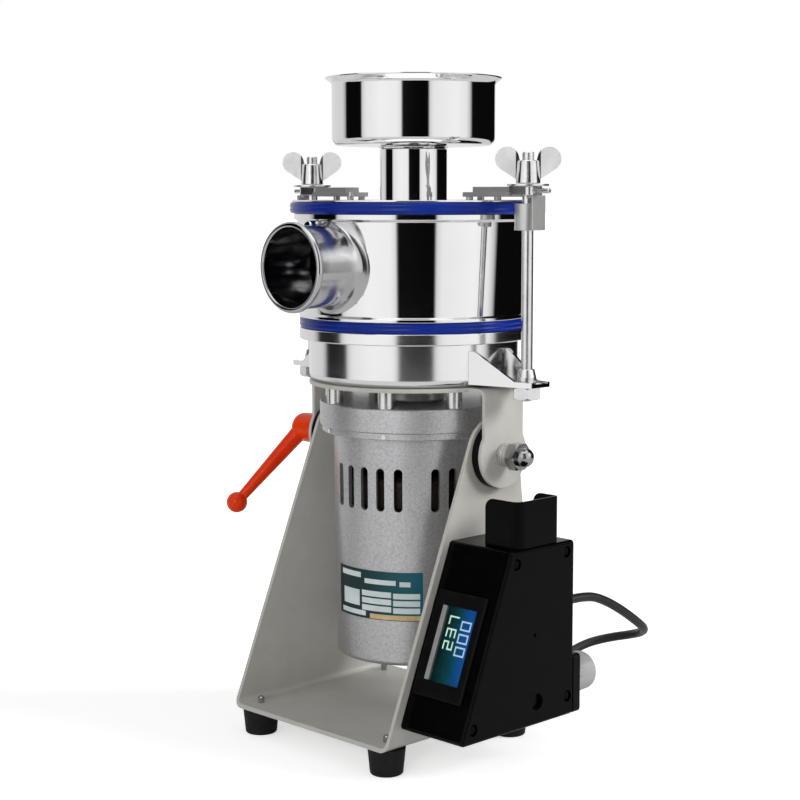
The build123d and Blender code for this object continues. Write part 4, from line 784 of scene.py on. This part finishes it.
def well_lip():
    """Sloping side of the meter's black well, left of the display, in grey painted light."""
    mesh = bmesh.new()
    slab_on_slope(mesh, WELL_X0 + 0.2, WINDOW_X0 - 0.9, WINDOW_LOW + LIP_EDGE,
                  WINDOW_LOW + WINDOW_LEN - LIP_EDGE, -2.4, 0.4)
    raised = [vert for vert in mesh.verts if (SLOPE.inverted() @ vert.co).x < (WELL_X0 + 1.0) * MM
              and (SLOPE.inverted() @ vert.co).z > 0]
    bmesh.ops.translate(mesh, vec=SLOPE.to_3x3() @ Vector((0.0, 0.0, LIP_RISE * MM)), verts=raised)
    bmesh.ops.bevel(mesh, geom=mesh.edges[:], offset=0.2 * MM, segments=2, profile=0.5, affect="EDGES",
                    material=-1)
    new_piece("well_lip", mesh, LIP_PAINTED_LIGHT, "cradle")


meter_readings()
meter_panel()
well_lip()


# ---------------------------------------------------------------- nameplate

PLATE_LOW = 97.0
PLATE_HIGH = 134.0
PLATE_FRONT_R = 60.45    # outer face of the plate at its lower edge
PLATE_TAPER = 0.0154     # radius gained per millimetre of height
PANEL_LIFT = 0.02
PANEL_T = 0.06
PANEL_STEP = 2            # degrees of bend per facet
# Plain panels on the plate: bearings of both ends from the camera's side, and shares of its height from
# the top.
PLATE_PANELS = (
    ("white", (-39.8, -16.0, 0.415, 0.530), (-14.6, 4.7, 0.430, 0.545), (-39.8, -16.0, 0.565, 0.680),
     (-14.6, 4.7, 0.580, 0.695), (-39.8, -16.0, 0.715, 0.830), (-14.6, 4.7, 0.730, 0.845),
     (-37.2, -12.6, 0.170, 0.270), (-9.9, -2.1, 0.190, 0.290), (-62.0, -40.6, 0.060, 0.170),
     (-60.0, -42.0, 0.430, 0.760), (-62.5, -36.5, 0.850, 0.950)),
    ("gold", (-32.8, 6.2, 0.885, 0.985)),
)


def curved_panel(mesh, start, end, top, foot, lift):
    """Thin panel bent round the motor housing."""
    heights = [PLATE_HIGH - share * (PLATE_HIGH - PLATE_LOW) for share in (top, foot)]
    corners = []
    for height in heights:
        radius = PLATE_FRONT_R + PLATE_TAPER * (height - PLATE_LOW) + lift
        bearing = math.radians(start - CAMERA_TURN)
        place = from_axis(radius * math.cos(bearing), radius * math.sin(bearing), height)
        corners.append(mesh.verts.new(place))
    edge = mesh.edges.new(corners)
    bmesh.ops.spin(mesh, geom=[*corners, edge], cent=MILL_AXIS, axis=(0, 0, 1),
                   angle=math.radians(end - start), steps=max(2, int((end - start) / PANEL_STEP)))


def plate_panels():
    """Plain pale and gold panels in place of the plate's print."""
    for name, *panels in PLATE_PANELS:
        mesh = bmesh.new()
        for panel in panels:
            curved_panel(mesh, *panel, PANEL_LIFT)
        bmesh.ops.recalc_face_normals(mesh, faces=mesh.faces)
        bmesh.ops.solidify(mesh, geom=mesh.faces[:], thickness=PANEL_T * MM)
        new_piece(f"plate_panels_{name}", mesh, PLATE_WHITE if name == "white" else PLATE_GOLD, "head")


plate_panels()


# ---------------------------------------------------------------- windings behind the vents

WINDING_OUTLINE = ((38.0, 178.0, 3.0), (53.0, 178.0, 4.0), (54.0, 203.0, 6.0), (40.0, 205.0, 5.0))
# Windings in near-black painted shade, seen through the vents.
new_piece("winding_heads", turned_mesh(WINDING_OUTLINE), WINDINGS_IN_PAINTED_SHADE, "head")


# ---------------------------------------------------------------- floor, lamps and backdrop

def camera_or_gloss(tree):
    """One for rays seen by the camera or mirrored by the mill, and nothing for the light that falls on it."""
    path = tree.nodes.new("ShaderNodeLightPath")
    seen = calculate(tree, "MAXIMUM", path.outputs["Is Camera Ray"], path.outputs["Is Glossy Ray"])
    return calculate(tree, "MAXIMUM", seen, path.outputs["Is Transmission Ray"])


def stage_object(name, mesh, material):
    """Part of the studio, kept apart from the mill."""
    data = bpy.data.meshes.new(name)
    mesh.to_mesh(data)
    mesh.free()
    data.materials.append(material)
    item = bpy.data.objects.new(name, data)
    bpy.context.scene.collection.objects.link(item)
    return item


FLOOR_R = 40.0


def make_floor():
    """Pale floor that the camera sees a little brighter than its own light makes it."""
    mesh = bmesh.new()
    bmesh.ops.create_circle(mesh, cap_ends=True, segments=96, radius=FLOOR_R)
    material, tree, shader = new_material("pale_floor")
    shader.inputs["Base Color"].default_value = (0.90, 0.90, 0.90, 1.0)
    shader.inputs["Roughness"].default_value = 0.9
    shader.inputs["Specular IOR Level"].default_value = 0.1
    shader.inputs["Emission Color"].default_value = (1.0, 1.0, 1.0, 1.0)
    path = tree.nodes.new("ShaderNodeLightPath")
    glow = value_range(tree, path.outputs["Is Camera Ray"], 0.0, 0.55)
    tree.links.new(glow, shader.inputs["Emission Strength"])
    stage_object("floor", mesh, material)


STUDIO_R = 1.7
STUDIO_H = 3.6
STUDIO_MIDDLE = 0.9
# Brightness that polished parts mirror, by bearing from the camera's side in degrees, plus to the right.
STUDIO_TONES = (
    (-180.0, 0.80), (-116.0, 0.70), (-109.0, 0.40), (-106.5, 0.003), (-77.0, 0.002), (-74.5, 0.70),
    (-68.0, 0.88), (-45.0, 1.0), (-22.0, 0.97), (-17.0, 0.80), (-15.0, 0.004), (20.0, 0.002), (22.5, 0.75),
    (28.0, 0.92), (60.0, 1.0), (78.0, 0.90), (84.0, 0.60), (88.5, 0.003), (158.0, 0.003), (164.0, 0.70),
    (180.0, 0.80),
)


def make_studio_wall():
    """Round wall that only reflections see: white with soft-edged black flags."""
    mesh = bmesh.new()
    middle = Matrix.Translation(MILL_AXIS + Vector((0.0, 0.0, STUDIO_MIDDLE)))
    bmesh.ops.create_cone(mesh, cap_ends=False, segments=128, radius1=STUDIO_R, radius2=STUDIO_R,
                          depth=STUDIO_H, matrix=middle)
    material = bpy.data.materials.new("studio_wall")
    material.use_nodes = True
    tree = material.node_tree
    tree.nodes.clear()
    where = object_coordinates(tree)
    bearing = calculate(tree, "ARCTAN2", along(tree, where, "Y"), along(tree, where, "X"))
    turns = calculate(tree, "DIVIDE", bearing, 2 * math.pi)
    share = calculate(tree, "FRACT", calculate(tree, "ADD", turns, 0.5 + CAMERA_TURN / 360.0))
    tone = colour_ramp(tree, share, [(0.5 + angle / 360.0, (level,) * 3) for angle, level in STUDIO_TONES])
    glow = tree.nodes.new("ShaderNodeEmission")
    tree.links.new(tone, glow.inputs["Color"])
    out = tree.nodes.new("ShaderNodeOutputMaterial")
    tree.links.new(glow.outputs["Emission"], out.inputs["Surface"])
    wall = stage_object("studio_wall", mesh, material)
    wall.visible_camera = False
    wall.visible_diffuse = False
    wall.visible_shadow = False
    wall.visible_transmission = False


def soft_sun(name, bearing, height, strength, spread):
    """Broad even lamp: bearing from the camera's side and height above the floor, in degrees."""
    lamp = bpy.data.lights.new(name, "SUN")
    lamp.energy = strength
    lamp.angle = math.radians(spread)
    item = bpy.data.objects.new(name, lamp)
    side, lift = math.radians(bearing - CAMERA_TURN), math.radians(height)
    toward = Vector((math.cos(side) * math.cos(lift), math.sin(side) * math.cos(lift), math.sin(lift)))
    item.rotation_euler = toward.to_track_quat("Z", "Y").to_euler()
    bpy.context.scene.collection.objects.link(item)


def make_world():
    """White surroundings, dim for the light that falls on the mill."""
    world = bpy.data.worlds.new("studio")
    bpy.context.scene.world = world
    world.use_nodes = True
    tree = world.node_tree
    back = tree.nodes["Background"]
    back.inputs["Color"].default_value = (1.0, 1.0, 1.0, 1.0)
    tree.links.new(value_range(tree, camera_or_gloss(tree), 0.15, 1.0), back.inputs["Strength"])


make_floor()
make_studio_wall()
make_world()
soft_sun("lamp_right", 80.0, 26.0, 2.15, 24.0)
soft_sun("lamp_left", -70.0, 34.0, 0.42, 40.0)
soft_sun("lamp_front", -16.0, 20.0, 0.95, 24.0)
soft_sun("lamp_top", 0.0, 78.0, 0.35, 50.0)

bpy.context.scene.view_settings.view_transform = "Standard"
